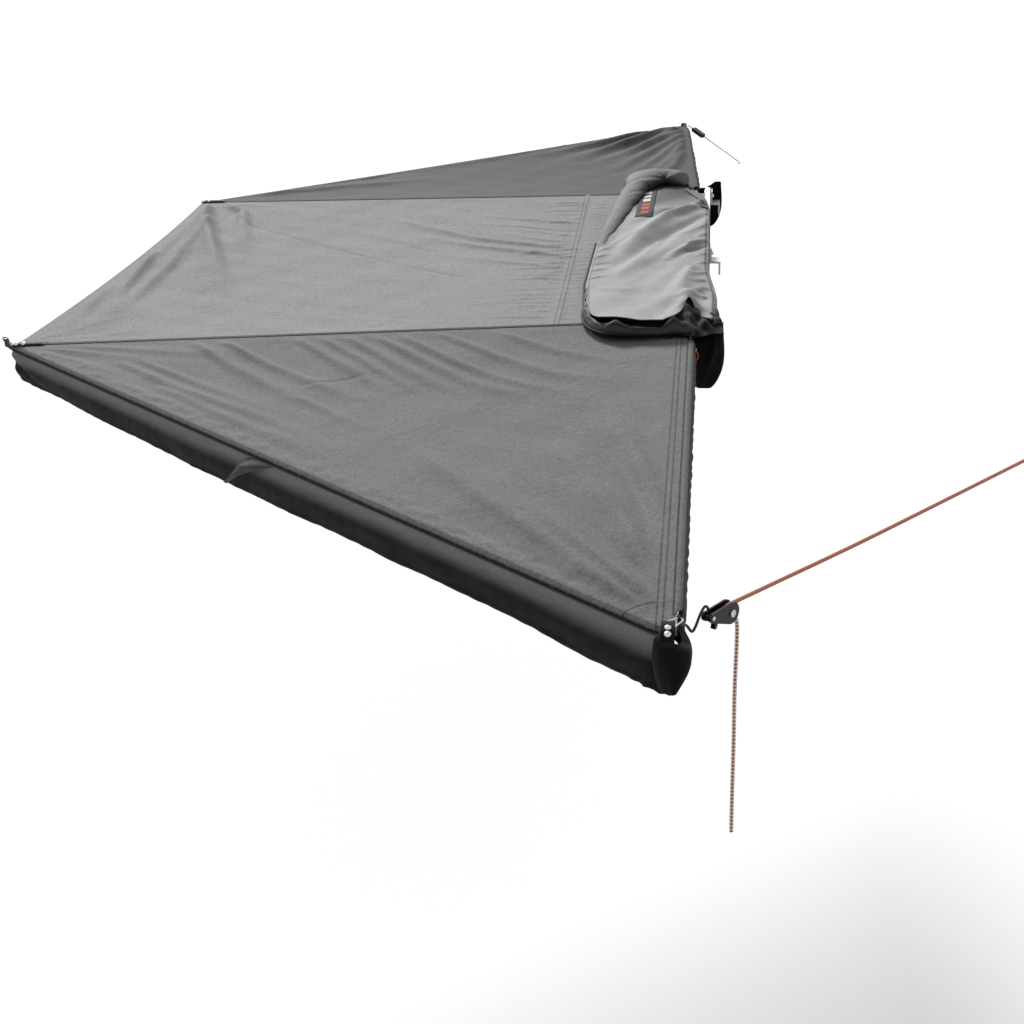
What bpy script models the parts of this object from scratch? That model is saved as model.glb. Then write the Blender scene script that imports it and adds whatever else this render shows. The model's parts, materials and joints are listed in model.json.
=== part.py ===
"""A fan-shaped side awning for a vehicle, opened flat.

A backing rail carries two hubs. Each hub carries two arms, stacked on one
upright pin, and the canopy is stretched over the four arm tips. The origin is
the centre of the middle bracket's back face, on the vehicle's side. +X points
to the vehicle, +Y to its front, and +Z up. Sizes are in metres.
"""

import math

import bmesh
import bpy
from mathutils import Matrix, Vector

# Clearance between touching pieces, and smoothness of round shapes
GAP = 0.0003
ROUND = 20
SMALL_ROUND = 12

# Rail, its brackets and the bag that is held against it
RAIL_LENGTH = 2.30
RAIL_HEIGHT = 0.125
RAIL_DEPTH = 0.022
RAIL_WALL = 0.0025
CAP_PLATE = 0.004
CAP_SPIGOT = 0.025
BRACKET_WIDTH = 0.080
BRACKET_DEPTH = 0.036
BRACKET_THICK = 0.006
BRACKET_LEG = 0.045
BRACKET_INSET = 0.070
FIXING_HOLE_RADIUS = 0.0045
FIXING_HOLE_SPACING = 0.050
BOLT_RADIUS = 0.004
BOLT_HEAD_RADIUS = 0.0075
BOLT_HEAD = 0.0055
BAG_SKIN = 0.002
BAG_DROP = 0.030
LINING_THICK = 0.020
LINING_CLEAR = 0.0035
CLAMP_THICK = 0.003

# Hubs and arms
HUB_INSET = 0.130
HUB_SETBACK = 0.034
HUB_PLATE = 0.005
HUB_PLATE_WIDTH = 0.070
LUG_THICK = 0.005
LUG_RADIUS = 0.018
PIN_RADIUS = 0.005
PIN_HEAD_RADIUS = 0.009
PIN_HEAD = 0.005
PIN_TAIL = 0.010
WASHER_THICK = 0.0034
WASHER_RADIUS = 0.0135
ARM_REACH = 1.98
TUBE_WIDTH = 0.030
TUBE_HEIGHT = 0.024
TUBE_WALL = 0.002
TUBE_CORNER = 0.003
SHANK_LENGTH = 0.045
SPIGOT_LENGTH = 0.060
TIP_BLOCK = 0.037
TIP_END = 0.012
TIP_WIDTH = 0.018
NOSE_LENGTH = 0.040
NOSE_RISE = 0.028
NOSE_WIDTH = 0.014
STUD_RADIUS = 0.004
STUD_HEAD_RADIUS = 0.0062
STUD_HEAD = 0.0018
FRONT_ARM_LEAN = math.radians(2.2)

# Canopy
CLOTH = 0.003
CLOTH_LIFT = 0.002
OUTER_OVERHANG = 0.025
END_OVERHANG = 0.040
SIDE_OVERHANG = 0.0155
GROMMET_RADIUS = 0.0055
VALANCE_DROP = 0.105
FLAP_CLEAR = 0.026
TAB_LENGTH = 0.105
TAB_HEIGHT = 0.026
TAB_THICK = 0.0025
TAB_AT = 0.536

# Cover rolled back over the canopy
COVER_SKIN = 0.004
COVER_REACH = 0.385
COVER_OUTLINE = [(0.0, 0.76), (0.06, 0.90), (0.50, 1.0), (0.68, 0.93), (0.93, 0.76), (1.0, 0.42)]
COVER_REAR_OVER = 0.05
COVER_FRONT_OVER = 0.17
COVER_ROLL = 0.050

# Zip slider and its pull
SLIDER_SIZE = 0.010
LUG_PLATE = 0.0024
LOOP_CLEAR = 0.0006
LOOP_RADIUS = 0.013
LOOP_WIRE = 0.0016
LOOP_HEIGHT = 0.020

# Rear guy: corner ring, hook, ratchet and rope
RING_WIRE = 0.0015
RING_INNER = 0.011
REAR_RING_LENGTH = 0.0375
NOTCH_WIDTH = 0.016
NOTCH_DEPTH = 0.020
REAR_GUY_HEADING = math.radians(52)
ROPE_RADIUS = 0.004
ROPE_DROP = 0.017
ROPE_RISE = 0.004
ROPE_LENGTH = 1.145
AXLE_AT = 0.174
WRAP_RADIUS = 0.0135
PULLEY_RADIUS = 0.0165
PULLEY_THICK = 0.0124
GROOVE_WIDTH = 0.0090
AXLE_RADIUS = 0.004
AXLE_HEAD_RADIUS = 0.0075
AXLE_HEAD = 0.003
CHEEK_THICK = 0.004
CHEEK_RADIUS = 0.0215
HOOK_PIN_AT = 0.1175
HOOK_PIN_RADIUS = 0.0025
PIN_RIVET_RADIUS = 0.0045
HOOK_END_RADIUS = 0.0095
HOOK_WIRE = 0.0027
LEVER_AT = 0.139
LEVER_THICK = 0.0100
END_HOOK_WIRE = 0.003
SHANK_SHARE = 0.92

# Front guy: corner ring, cord, tensioner and hook
FRONT_RING_LENGTH = 0.041
FRONT_GUY_HEADING = math.radians(-55)
FRONT_GUY_FALL = math.radians(16)
CORD_RADIUS = 0.002
FRONT_CORD_LENGTH = 0.440
TENSIONER_AT = 0.045
TENSIONER_LENGTH = 0.090
TENSIONER_WIDTH = 0.028
TENSIONER_THICK = 0.012
CORD_CLEAR = 0.0006
FRONT_HOOK_WIRE = 0.0022

# Places that follow from the sizes above
RAIL_TOP = RAIL_HEIGHT / 2
RAIL_BACK = -(BRACKET_DEPTH + BAG_SKIN + 2 * GAP)
RAIL_FRONT = RAIL_BACK - RAIL_DEPTH
HUB_PLATE_BACK = RAIL_FRONT - GAP
HUB_X = HUB_PLATE_BACK - HUB_PLATE - HUB_SETBACK
HUB_Y = RAIL_LENGTH / 2 - HUB_INSET
FRONT_HUB = Vector((HUB_X, HUB_Y))
REAR_HUB = Vector((HUB_X, -HUB_Y))
FLAP_START = HUB_INSET + CAP_PLATE + LINING_THICK + FLAP_CLEAR
COVER_REAR_END = -RAIL_LENGTH / 2 - COVER_REAR_OVER
COVER_FRONT_END = RAIL_LENGTH / 2 + COVER_FRONT_OVER
CANOPY_Z = RAIL_TOP + GAP
PITCH = TUBE_HEIGHT + WASHER_THICK + 2 * GAP
TOP_LEVEL = CANOPY_Z - 3 * GAP - PIN_HEAD - LUG_THICK - TUBE_HEIGHT / 2
ARM_LEVEL = {1: TOP_LEVEL, 2: TOP_LEVEL - PITCH, 4: TOP_LEVEL - 2 * PITCH, 3: TOP_LEVEL - 3 * PITCH}
ARM_HUB = {1: FRONT_HUB, 2: FRONT_HUB, 3: REAR_HUB, 4: REAR_HUB}
ARM_HEADING = {1: math.pi / 2 + FRONT_ARM_LEAN, 2: math.pi, 3: math.pi, 4: 3 * math.pi / 2}
TUBE_END = ARM_REACH + TIP_END - TIP_BLOCK
CLOTH_ON_ARM = TUBE_HEIGHT / 2 + CLOTH_LIFT
RING_ON_ARM = CLOTH_ON_ARM + 2 * CLOTH + RING_WIRE
STUD_TOP = RING_ON_ARM + RING_WIRE + GAP + STUD_HEAD
OVERHANG = {1: END_OVERHANG, 2: OUTER_OVERHANG, 3: OUTER_OVERHANG, 4: END_OVERHANG}
BRACKET_Y = RAIL_LENGTH / 2 - BRACKET_INSET
BRACKET_PLACES = {"front": BRACKET_Y, "middle": 0.0, "rear": -BRACKET_Y}


def clear_scene():
    for item in list(bpy.data.objects):
        bpy.data.objects.remove(item)


def material(name, colour, roughness, metallic=0.0):
    made = bpy.data.materials.get(name)
    if made:
        return made
    made = bpy.data.materials.new(name)
    made.use_nodes = True
    shader = made.node_tree.nodes["Principled BSDF"]
    shader.inputs["Base Color"].default_value = (*colour, 1)
    shader.inputs["Roughness"].default_value = roughness
    shader.inputs["Metallic"].default_value = metallic
    made.diffuse_color = (*colour, 1)
    return made


def anodised():
    return material("anodised_aluminium", (0.55, 0.56, 0.57), 0.38, 1.0)


def plated_steel():
    return material("plated_steel", (0.72, 0.72, 0.73), 0.22, 1.0)


def black_plastic():
    return material("black_plastic", (0.022, 0.022, 0.024), 0.45)


def black_metal():
    return material("black_coated_metal", (0.03, 0.03, 0.032), 0.32, 0.6)


def nylon():
    return material("nylon_washer", (0.72, 0.71, 0.67), 0.5)


def canopy_cloth():
    return material("canopy_cloth", (0.19, 0.19, 0.20), 0.85)


def valance_cloth():
    return material("valance_cloth", (0.022, 0.022, 0.023), 0.6)


def cover_cloth():
    return material("cover_cloth", (0.16, 0.17, 0.165), 0.55)


def lining_cloth():
    return material("lining_cloth", (0.012, 0.012, 0.013), 0.5)


def rope_fibre():
    return material("rope_fibre", (0.50, 0.16, 0.10), 0.8)


def cord_fibre():
    return material("cord_fibre", (0.02, 0.02, 0.02), 0.8)


def orange_cord():
    return material("orange_cord", (0.85, 0.15, 0.04), 0.6)


def frame_at(name, place, heading=0.0):
    """An empty that carries the pieces of one moving body."""
    empty = bpy.data.objects.new(name, None)
    empty.location = place
    empty.rotation_euler.z = heading
    bpy.context.collection.objects.link(empty)
    return empty


def piece(name, shape, look, parent=None, smooth=False):
    """An object made from a bmesh in its parent's frame."""
    bmesh.ops.recalc_face_normals(shape, faces=shape.faces)
    mesh = bpy.data.meshes.new(name)
    shape.to_mesh(mesh)
    shape.free()
    mesh.materials.append(look)
    if smooth:
        mesh.shade_smooth()
        mesh.set_sharp_from_angle(angle=math.radians(35))
    made = bpy.data.objects.new(name, mesh)
    bpy.context.collection.objects.link(made)
    made.parent = parent
    return made


def cutter(name, shape, parent=None):
    made = piece(name, shape, black_plastic(), parent)
    made.hide_render = True
    made.display_type = "WIRE"
    return made


def boolean(made, other, operation="DIFFERENCE"):
    change = made.modifiers.new(other.name, "BOOLEAN")
    change.operation = operation
    change.solver = "EXACT"
    change.object = other


def loop_faces(shape, first, second, closed=True):
    count = len(first)
    for k in range(count if closed else count - 1):
        following = (k + 1) % count
        shape.faces.new((first[k], first[following], second[following], second[k]))


def lofted(rings):
    """A closed solid through rings of points with the same count."""
    shape = bmesh.new()
    loops = [[shape.verts.new(p) for p in ring] for ring in rings]
    for first, second in zip(loops, loops[1:]):
        loop_faces(shape, first, second)
    shape.faces.new(loops[0])
    shape.faces.new(loops[-1])
    return shape


def prism(outline, low, high, place):
    """An outline, extruded from low to high. place(a, b, c) maps it to space."""
    return lofted([[place(a, b, c) for a, b in outline] for c in (low, high)])


def along_x(a, b, c):
    return (c, a, b)


def along_y(a, b, c):
    return (a, c, b)


def along_z(a, b, c):
    return (a, b, c)


def box(low, high):
    outline = [(low[0], low[1]), (high[0], low[1]), (high[0], high[1]), (low[0], high[1])]
    return prism(outline, low[2], high[2], along_z)


def arc(centre, radius, start, end, steps):
    """Points on an arc between two angles, in degrees, ends included."""
    angles = [math.radians(start + (end - start) * k / steps) for k in range(steps + 1)]
    return [(centre[0] + radius * math.cos(a), centre[1] + radius * math.sin(a)) for a in angles]


def circle(centre, radius, steps=ROUND):
    return arc(centre, radius, 0, 360, steps)[:-1]


def chamfered(width, height, corner):
    """A rectangle about the origin with cut corners."""
    w, h = width / 2, height / 2
    return [(w, corner - h), (w, h - corner), (w - corner, h), (corner - w, h),
            (-w, h - corner), (-w, corner - h), (corner - w, -h), (w - corner, -h)]


def pipe(outer, inner, low, high, place):
    """A wall between two outlines with the same count, open at both ends."""
    shape = bmesh.new()
    loops = [[shape.verts.new(place(a, b, c)) for a, b in line] for line, c in
             ((outer, low), (outer, high), (inner, high), (inner, low))]
    for first, second in zip(loops, loops[1:] + loops[:1]):
        loop_faces(shape, first, second)
    return shape


def turned(profile, steps=ROUND):
    """A solid of revolution about Z. The profile is (radius, height), on the axis at both ends."""
    shape = bmesh.new()
    (_, bottom), (_, top) = profile[0], profile[-1]
    rings = [[shape.verts.new((r * math.cos(t), r * math.sin(t), z)) for t in
              (2 * math.pi * k / steps for k in range(steps))] for r, z in profile[1:-1]]
    for first, second in zip(rings, rings[1:]):
        loop_faces(shape, first, second)
    for ring, height in ((rings[0], bottom), (rings[-1], top)):
        centre = shape.verts.new((0, 0, height))
        for k in range(steps):
            shape.faces.new((ring[k], ring[(k + 1) % steps], centre))
    return shape


def swept(points, radius, sides=8, closed=False):
    """A round bar along a line of points."""
    line = [Vector(p) for p in points]
    count = len(line)
    rings = []
    side = None
    for k, place in enumerate(line):
        before = line[k - 1] if closed or k else place
        after = line[(k + 1) % count] if closed or k < count - 1 else place
        ahead = (after - before).normalized()
        if side is None:
            side = ahead.orthogonal()
        side = (side - ahead * side.dot(ahead)).normalized()
        up = ahead.cross(side)
        rings.append([place + radius * (side * math.cos(t) + up * math.sin(t)) for t in
                      (2 * math.pi * n / sides for n in range(sides))])
    if not closed:
        return lofted(rings)
    shape = bmesh.new()
    loops = [[shape.verts.new(p) for p in ring] for ring in rings]
    for first, second in zip(loops, loops[1:] + loops[:1]):
        loop_faces(shape, first, second)
    return shape


def smooth_line(points, spacing):
    """Points about one spacing apart on a smooth curve through the given ones."""
    route = [Vector(p) for p in points]
    ends = [2 * route[0] - route[1], *route, 2 * route[-1] - route[-2]]
    found = []
    for a, b, c, d in zip(ends, ends[1:], ends[2:], ends[3:]):
        steps = max(1, round((c - b).length / spacing))
        for k in range(steps):
            t = k / steps
            found.append(0.5 * (2 * b + (c - a) * t + (2 * a - 5 * b + 4 * c - d) * t * t
                                + (3 * b - a - 3 * c + d) * t ** 3))
    return [*found, route[-1]]


def cord(name, points, radius, look, parent):
    """A cord as a curve object with a round bevel."""
    curve = bpy.data.curves.new(name, "CURVE")
    curve.dimensions = "3D"
    curve.bevel_depth = radius
    curve.bevel_resolution = 2
    curve.use_fill_caps = True
    spline = curve.splines.new("POLY")
    spline.points.add(len(points) - 1)
    for slot, place in zip(spline.points, points):
        slot.co = (*place, 1)
    curve.materials.append(look)
    made = bpy.data.objects.new(name, curve)
    bpy.context.collection.objects.link(made)
    made.parent = parent
    return made


def heading(angle):
    return Vector((math.cos(angle), math.sin(angle)))


def make_rail():
    half = RAIL_LENGTH / 2
    middle = (RAIL_BACK + RAIL_FRONT) / 2

    def across(a, b, c):
        return (middle + a, c, b)

    outer = chamfered(RAIL_DEPTH, RAIL_HEIGHT, TUBE_CORNER)
    inner = chamfered(RAIL_DEPTH - 2 * RAIL_WALL, RAIL_HEIGHT - 2 * RAIL_WALL, TUBE_CORNER / 2)
    rail = piece("backing_rail", pipe(outer, inner, -half, half, across), anodised())
    plug = chamfered(RAIL_DEPTH - 2 * (RAIL_WALL + GAP), RAIL_HEIGHT - 2 * (RAIL_WALL + GAP), TUBE_CORNER / 2)
    for end, side in (("front", 1), ("rear", -1)):
        rings = [[across(a, b, side * c) for a, b in line] for line, c in
                 ((outer, half + GAP + CAP_PLATE), (outer, half + GAP), (plug, half + GAP),
                  (plug, half - CAP_SPIGOT))]
        piece(f"rail_end_cap_{end}", lofted(rings), black_plastic())
    return rail


def make_brackets(rail, panel):
    """Z-shaped brackets that stand the rail off the vehicle, each with its bolt."""
    leg_front = -BRACKET_DEPTH
    outline = [(0, 0), (0, -BRACKET_LEG), (-BRACKET_THICK, -BRACKET_LEG),
               (-BRACKET_THICK, -BRACKET_THICK), (leg_front, -BRACKET_THICK)]
    outline = [(x, z + BRACKET_LEG / 2) for x, z in outline]
    leg_top = BRACKET_LEG / 2 + BRACKET_LEG
    outline += [(leg_front, leg_top), (leg_front + BRACKET_THICK, leg_top),
                (leg_front + BRACKET_THICK, BRACKET_LEG / 2)]
    bolt_z = BRACKET_LEG
    for end, place in BRACKET_PLACES.items():
        low, high = place - BRACKET_WIDTH / 2, place + BRACKET_WIDTH / 2
        bracket = piece(f"mount_bracket_{end}", prism(outline, low, high, along_y), anodised())
        for side in (-1, 1):
            centre = (place + side * FIXING_HOLE_SPACING / 2, 0)
            ring = circle(centre, FIXING_HOLE_RADIUS, SMALL_ROUND)
            hole = prism(ring, -2 * BRACKET_THICK, BRACKET_THICK, along_x)
            boolean(bracket, cutter(f"fixing_hole_{end}_{side}", hole))
        through = prism(circle((place, bolt_z), BOLT_RADIUS + GAP, SMALL_ROUND),
                        RAIL_BACK - RAIL_DEPTH / 2, leg_front + 2 * BRACKET_THICK, along_x)
        hole = cutter(f"bolt_hole_{end}", through)
        for made in (bracket, panel, rail):
            boolean(made, hole)
        face = leg_front + BRACKET_THICK + GAP
        nut = RAIL_BACK - RAIL_WALL - GAP
        profile = [(0, nut - BOLT_HEAD), (BOLT_HEAD_RADIUS, nut - BOLT_HEAD), (BOLT_HEAD_RADIUS, nut),
                   (BOLT_RADIUS, nut), (BOLT_RADIUS, face), (BOLT_HEAD_RADIUS, face),
                   (BOLT_HEAD_RADIUS, face + BOLT_HEAD), (0, face + BOLT_HEAD)]
        shape = turned(profile, SMALL_ROUND)
        turn = Matrix.Translation((0, place, bolt_z)) @ Matrix.Rotation(math.pi / 2, 4, "Y")
        bmesh.ops.transform(shape, matrix=turn, verts=shape.verts)
        piece(f"bracket_bolt_{end}", shape, plated_steel(), smooth=True)


def make_hub(end, hub, upper, lower):
    """The bracket, pin and washer that carry two knuckles."""
    top = ARM_LEVEL[upper] + TUBE_HEIGHT / 2 + GAP
    bottom = ARM_LEVEL[lower] - TUBE_HEIGHT / 2 - GAP
    plate_front = HUB_PLATE_BACK - HUB_PLATE
    low = (plate_front, hub.y - HUB_PLATE_WIDTH / 2, -RAIL_TOP + CAP_PLATE)
    high = (HUB_PLATE_BACK, hub.y + HUB_PLATE_WIDTH / 2, RAIL_TOP - CAP_PLATE)
    bracket = piece(f"hub_bracket_{end}", box(low, high), anodised())
    root = plate_front + HUB_PLATE / 2
    lug = [(root, hub.y - LUG_RADIUS), (root, hub.y + LUG_RADIUS)]
    lug += arc(hub, LUG_RADIUS, 90, 270, ROUND // 2)
    for place, floor in (("upper", top), ("lower", bottom - LUG_THICK)):
        shape = prism(lug, floor, floor + LUG_THICK, along_z)
        boolean(bracket, cutter(f"{place}_lug_{end}", shape), "UNION")
    bore = prism(circle(hub, PIN_RADIUS + GAP), bottom - 2 * LUG_THICK, top + 2 * LUG_THICK, along_z)
    boolean(bracket, cutter(f"pin_bore_{end}", bore))
    head = top + LUG_THICK + GAP
    foot = bottom - LUG_THICK - PIN_TAIL
    profile = [(0, foot), (PIN_RADIUS, foot), (PIN_RADIUS, head),
               (PIN_HEAD_RADIUS, head), (PIN_HEAD_RADIUS, head + PIN_HEAD), (0, head + PIN_HEAD)]
    pin = piece(f"hub_pin_{end}", turned(profile), plated_steel(), smooth=True)
    pin.location = (hub.x, hub.y, 0)
    floor = ARM_LEVEL[lower] + TUBE_HEIGHT / 2 + GAP
    outer, inner = circle((0, 0), WASHER_RADIUS), circle((0, 0), PIN_RADIUS + GAP)
    shape = pipe(outer, inner, floor, floor + WASHER_THICK, along_z)
    washer = piece(f"hub_washer_{end}", shape, nylon(), smooth=True)
    washer.location = (hub.x, hub.y, 0)


def make_arm(number):
    """A tube with its knuckle and its tip, along local X from the hub's axis."""
    hub = ARM_HUB[number]
    carrier = frame_at(f"arm_{number}_axis", (hub.x, hub.y, ARM_LEVEL[number]), ARM_HEADING[number])
    half = TUBE_HEIGHT / 2
    name = f"arm_{number}"

    start = SHANK_LENGTH + GAP
    outer = chamfered(TUBE_WIDTH, TUBE_HEIGHT, TUBE_CORNER)
    inner = chamfered(TUBE_WIDTH - 2 * TUBE_WALL, TUBE_HEIGHT - 2 * TUBE_WALL, TUBE_CORNER / 2)
    piece(f"{name}_tube", pipe(outer, inner, start, TUBE_END, along_x), anodised(), carrier)

    fit = TUBE_WALL + GAP
    spigot = chamfered(TUBE_WIDTH - 2 * fit, TUBE_HEIGHT - 2 * fit, TUBE_CORNER / 2)
    outline = arc((0, 0), TUBE_WIDTH / 2, 90, 270, ROUND // 2)
    outline += [(SHANK_LENGTH, -TUBE_WIDTH / 2), (SHANK_LENGTH, TUBE_WIDTH / 2)]
    shape = prism(outline, -half, half, along_z)
    knuckle = piece(f"{name}_knuckle", shape, black_metal(), carrier, smooth=True)
    inside = prism(spigot, SHANK_LENGTH - fit, SHANK_LENGTH + SPIGOT_LENGTH, along_x)
    boolean(knuckle, cutter(f"{name}_knuckle_spigot", inside, carrier), "UNION")
    bore = prism(circle((0, 0), PIN_RADIUS + GAP), -TUBE_HEIGHT, TUBE_HEIGHT, along_z)
    boolean(knuckle, cutter(f"{name}_knuckle_bore", bore, carrier))

    shape = box((TUBE_END + GAP, -TIP_WIDTH / 2, -half), (ARM_REACH + TIP_END, TIP_WIDTH / 2, half))
    tip = piece(f"{name}_tip", shape, black_plastic(), carrier, smooth=True)
    inside = prism(spigot, TUBE_END - SPIGOT_LENGTH, TUBE_END + fit, along_x)
    boolean(tip, cutter(f"{name}_tip_spigot", inside, carrier), "UNION")
    neck = STUD_TOP - STUD_HEAD
    profile = [(0, 0), (STUD_RADIUS, 0), (STUD_RADIUS, neck), (STUD_HEAD_RADIUS, neck),
               (STUD_HEAD_RADIUS, STUD_TOP - STUD_HEAD / 3), (STUD_RADIUS, STUD_TOP), (0, STUD_TOP)]
    stud = cutter(f"{name}_stud", turned(profile, SMALL_ROUND), carrier)
    stud.location.x = ARM_REACH
    boolean(tip, stud, "UNION")
    if number == 3:
        boolean(tip, cutter("nose", nose_shape(), carrier), "UNION")
    return carrier


def nose_shape():
    """The upturned nose beyond the outer rear arm's tip."""
    root = ARM_REACH + TIP_END / 2
    end = ARM_REACH + TIP_END + NOSE_LENGTH
    thick = NOSE_WIDTH / 2
    outline = [(root, -thick), (end - thick, -thick), (end, 0), (end, NOSE_RISE), (end - thick, NOSE_RISE),
               (end - thick, thick / 2), (end - 1.5 * thick, thick / 2), (root, thick / 2)]
    return prism(outline, -NOSE_WIDTH / 2, NOSE_WIDTH / 2, along_y)


def corner_of(number):
    """The canopy's corner beyond an arm's tip, on the underside."""
    ahead = heading(ARM_HEADING[number])
    left = Vector((-ahead.y, ahead.x))
    aside = {1: -SIDE_OVERHANG, 4: SIDE_OVERHANG}.get(number, 0.0)
    flat = ARM_HUB[number] + (ARM_REACH + OVERHANG[number]) * ahead + aside * left
    return Vector((flat.x, flat.y, ARM_LEVEL[number] + CLOTH_ON_ARM))


def panel(name, rows, parent):
    """A cloth panel through rows of points on its underside."""
    shape = bmesh.new()
    layers = []
    for lift in (0, CLOTH):
        layers.append([[shape.verts.new(p + Vector((0, 0, lift))) for p in row] for row in rows])
    for grid in layers:
        for first, second in zip(grid, grid[1:]):
            loop_faces(shape, first, second, closed=False)
    under, over = ([*grid[0], *(row[-1] for row in grid[1:-1]), *reversed(grid[-1]),
                    *(row[0] for row in reversed(grid[1:-1]))] for grid in layers)
    loop_faces(shape, under, over)
    return keep_in_place(piece(name, shape, canopy_cloth()), parent)


def between(first, last, steps):
    return [first.lerp(last, k / steps) for k in range(steps + 1)]


def make_canopy(carriers, root):
    """Three panels. Each is cut for the studs of the arms at its edges."""
    across = 6

    def at_hub(x, y):
        return Vector((x, y, CANOPY_Z))

    seam = Vector((0, GAP, 0))
    inner_x = RAIL_BACK - GAP - RAIL_WALL
    rear_y, front_y = REAR_HUB.y, FRONT_HUB.y
    inner = between(at_hub(inner_x, rear_y) + seam, at_hub(inner_x, front_y) - seam, across)
    hub_row = between(at_hub(HUB_X, rear_y) + seam, at_hub(HUB_X, front_y) - seam, across)
    outer = between(corner_of(3) + seam, corner_of(2) - seam, across)
    rows = [inner] + [[a.lerp(b, k / across) for a, b in zip(hub_row, outer)] for k in range(across + 1)]
    panels = {"middle": panel("canopy_middle_panel", rows, root)}
    for end, outer_arm, side_arm, side, hub in (("rear", 3, 4, 1, REAR_HUB), ("front", 2, 1, -1, FRONT_HUB)):
        first = at_hub(HUB_X, hub.y) - side * seam
        near = between(first, first + Vector((SIDE_OVERHANG, 0, 0)), 2)
        far = between(corner_of(outer_arm) - side * seam, corner_of(side_arm), 2)
        rows = [[a.lerp(b, k / 2) for a, b in zip(near, far)] for k in range(3)]
        panels[end] = panel(f"canopy_{end}_panel", rows, carriers[side_arm])
    for number, cut in ((1, ("front",)), (2, ("front", "middle")), (3, ("rear", "middle")), (4, ("rear",))):
        ring = circle((ARM_REACH, 0), GROMMET_RADIUS, SMALL_ROUND)
        hole = prism(ring, -TUBE_HEIGHT, 2 * TUBE_HEIGHT, along_z)
        made = cutter(f"grommet_{number}", hole, carriers[number])
        for end in cut:
            boolean(panels[end], made)


def outward(first, last):
    """The level direction across an edge, away from the canopy's middle."""
    ahead = last - first
    across = Vector((ahead.y, -ahead.x, 0)).normalized()
    middle = Vector((HUB_X - ARM_REACH / 2, 0, 0))
    return across if across.dot(first.lerp(last, 0.5) - middle) > 0 else -across


def keep_in_place(made, parent):
    made.parent = parent
    made.matrix_parent_inverse = parent.matrix_world.inverted()
    return made


def hanging_strip(name, first, last, parent):
    """A strip of cloth that hangs outside the canopy's edge, between two points on its underside."""
    out = outward(first, last)
    section = [(GAP, 0), (GAP + CLOTH, 0), (GAP + CLOTH, -VALANCE_DROP), (GAP, -VALANCE_DROP)]
    rings = [[place + out * a + Vector((0, 0, CLOTH + z)) for a, z in section] for place in (first, last)]
    return keep_in_place(piece(name, lofted(rings), valance_cloth()), parent)


def cut_short(first, last, at_first, at_last):
    ahead = (last - first).normalized()
    return first + ahead * at_first, last - ahead * at_last


def make_valances(carriers, root):
    nose = NOSE_WIDTH + CLOTH
    join = 2 * CLOTH
    edges = (("valance_rear", 3, 4, nose, join, carriers[4]), ("valance_side", 2, 3, join, nose, root),
             ("valance_front", 1, 2, join, join, carriers[1]))
    for name, first, last, at_first, at_last, parent in edges:
        start, end = cut_short(corner_of(first), corner_of(last), at_first, at_last)
        hanging_strip(name, start, end, parent)
    flaps = {}
    for end, number, side, hub in (("rear", 4, 1, REAR_HUB), ("front", 1, -1, FRONT_HUB)):
        at_hub = Vector((HUB_X + SIDE_OVERHANG, hub.y, CANOPY_Z))
        start, stop = cut_short(at_hub, corner_of(number), FLAP_START, join)
        flaps[end] = hanging_strip(f"side_flap_{end}", start, stop, carriers[number])
    make_strap_tab(carriers)
    return flaps


def make_strap_tab(carriers):
    """The rolled end of a tie strap that lies on the rear valance."""
    first, last = corner_of(3), corner_of(4)
    ahead = (last - first).normalized()
    out = outward(first, last)
    middle = first.lerp(last, TAB_AT) + out * (2 * GAP + CLOTH) + Vector((0, 0, -TAB_HEIGHT / 4))
    section = [(0, 0), (TAB_THICK, 0), (3 * TAB_THICK, -TAB_HEIGHT), (2 * TAB_THICK, -TAB_HEIGHT)]
    rings = [[middle + ahead * place + out * a + Vector((0, 0, z)) for a, z in section]
             for place in (-TAB_LENGTH / 2, TAB_LENGTH / 2)]
    keep_in_place(piece("valance_strap", lofted(rings), lining_cloth()), carriers[4])


def make_bag():
    """The open bag: its back panel, its hanging end linings and the strip that clamps it."""
    back = -BRACKET_DEPTH - GAP
    front = back - BAG_SKIN
    half = RAIL_LENGTH / 2 + CAP_PLATE + 2 * GAP + LINING_CLEAR
    cover_floor = RAIL_TOP + 3 * GAP + CLOTH + CLAMP_THICK
    low = (front, -half, -RAIL_TOP - BAG_DROP)
    high = (back, half, cover_floor + COVER_SKIN)
    back_panel = piece("bag_back_panel", box(low, high), lining_cloth())

    inner_x = front - GAP
    low = (RAIL_FRONT + RAIL_WALL, -half + CAP_PLATE, RAIL_TOP + 2 * GAP + CLOTH)
    high = (inner_x - GAP, half - CAP_PLATE, cover_floor - GAP)
    piece("clamp_strip", box(low, high), anodised())

    left = HUB_X + TUBE_WIDTH / 2 + LINING_CLEAR / 2
    right = -BRACKET_THICK / 2
    width = right - left
    top = cover_floor - GAP
    bottom = -RAIL_TOP - BAG_DROP
    outline = [(right, top), (left, top)]
    outline += arc((left + width / 2, bottom + width / 2), width / 2, 180, 360, ROUND // 2)
    for end, side in (("front", 1), ("rear", -1)):
        low_y = side * (half + GAP)
        shape = prism(outline, low_y, low_y + side * LINING_THICK, along_y)
        piece(f"bag_lining_{end}", shape, lining_cloth())
    outside = half + GAP + LINING_THICK
    make_cover(inner_x, cover_floor)
    make_zip_pull(left, outside)
    return back_panel


def cover_edge(share):
    """How far the cover reaches from its hinge line, at a share of its length."""
    for (a, first), (b, last) in zip(COVER_OUTLINE, COVER_OUTLINE[1:]):
        if share <= b:
            return COVER_REACH * (first + (last - first) * (share - a) / (b - a))
    return COVER_REACH * COVER_OUTLINE[-1][1]


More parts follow.
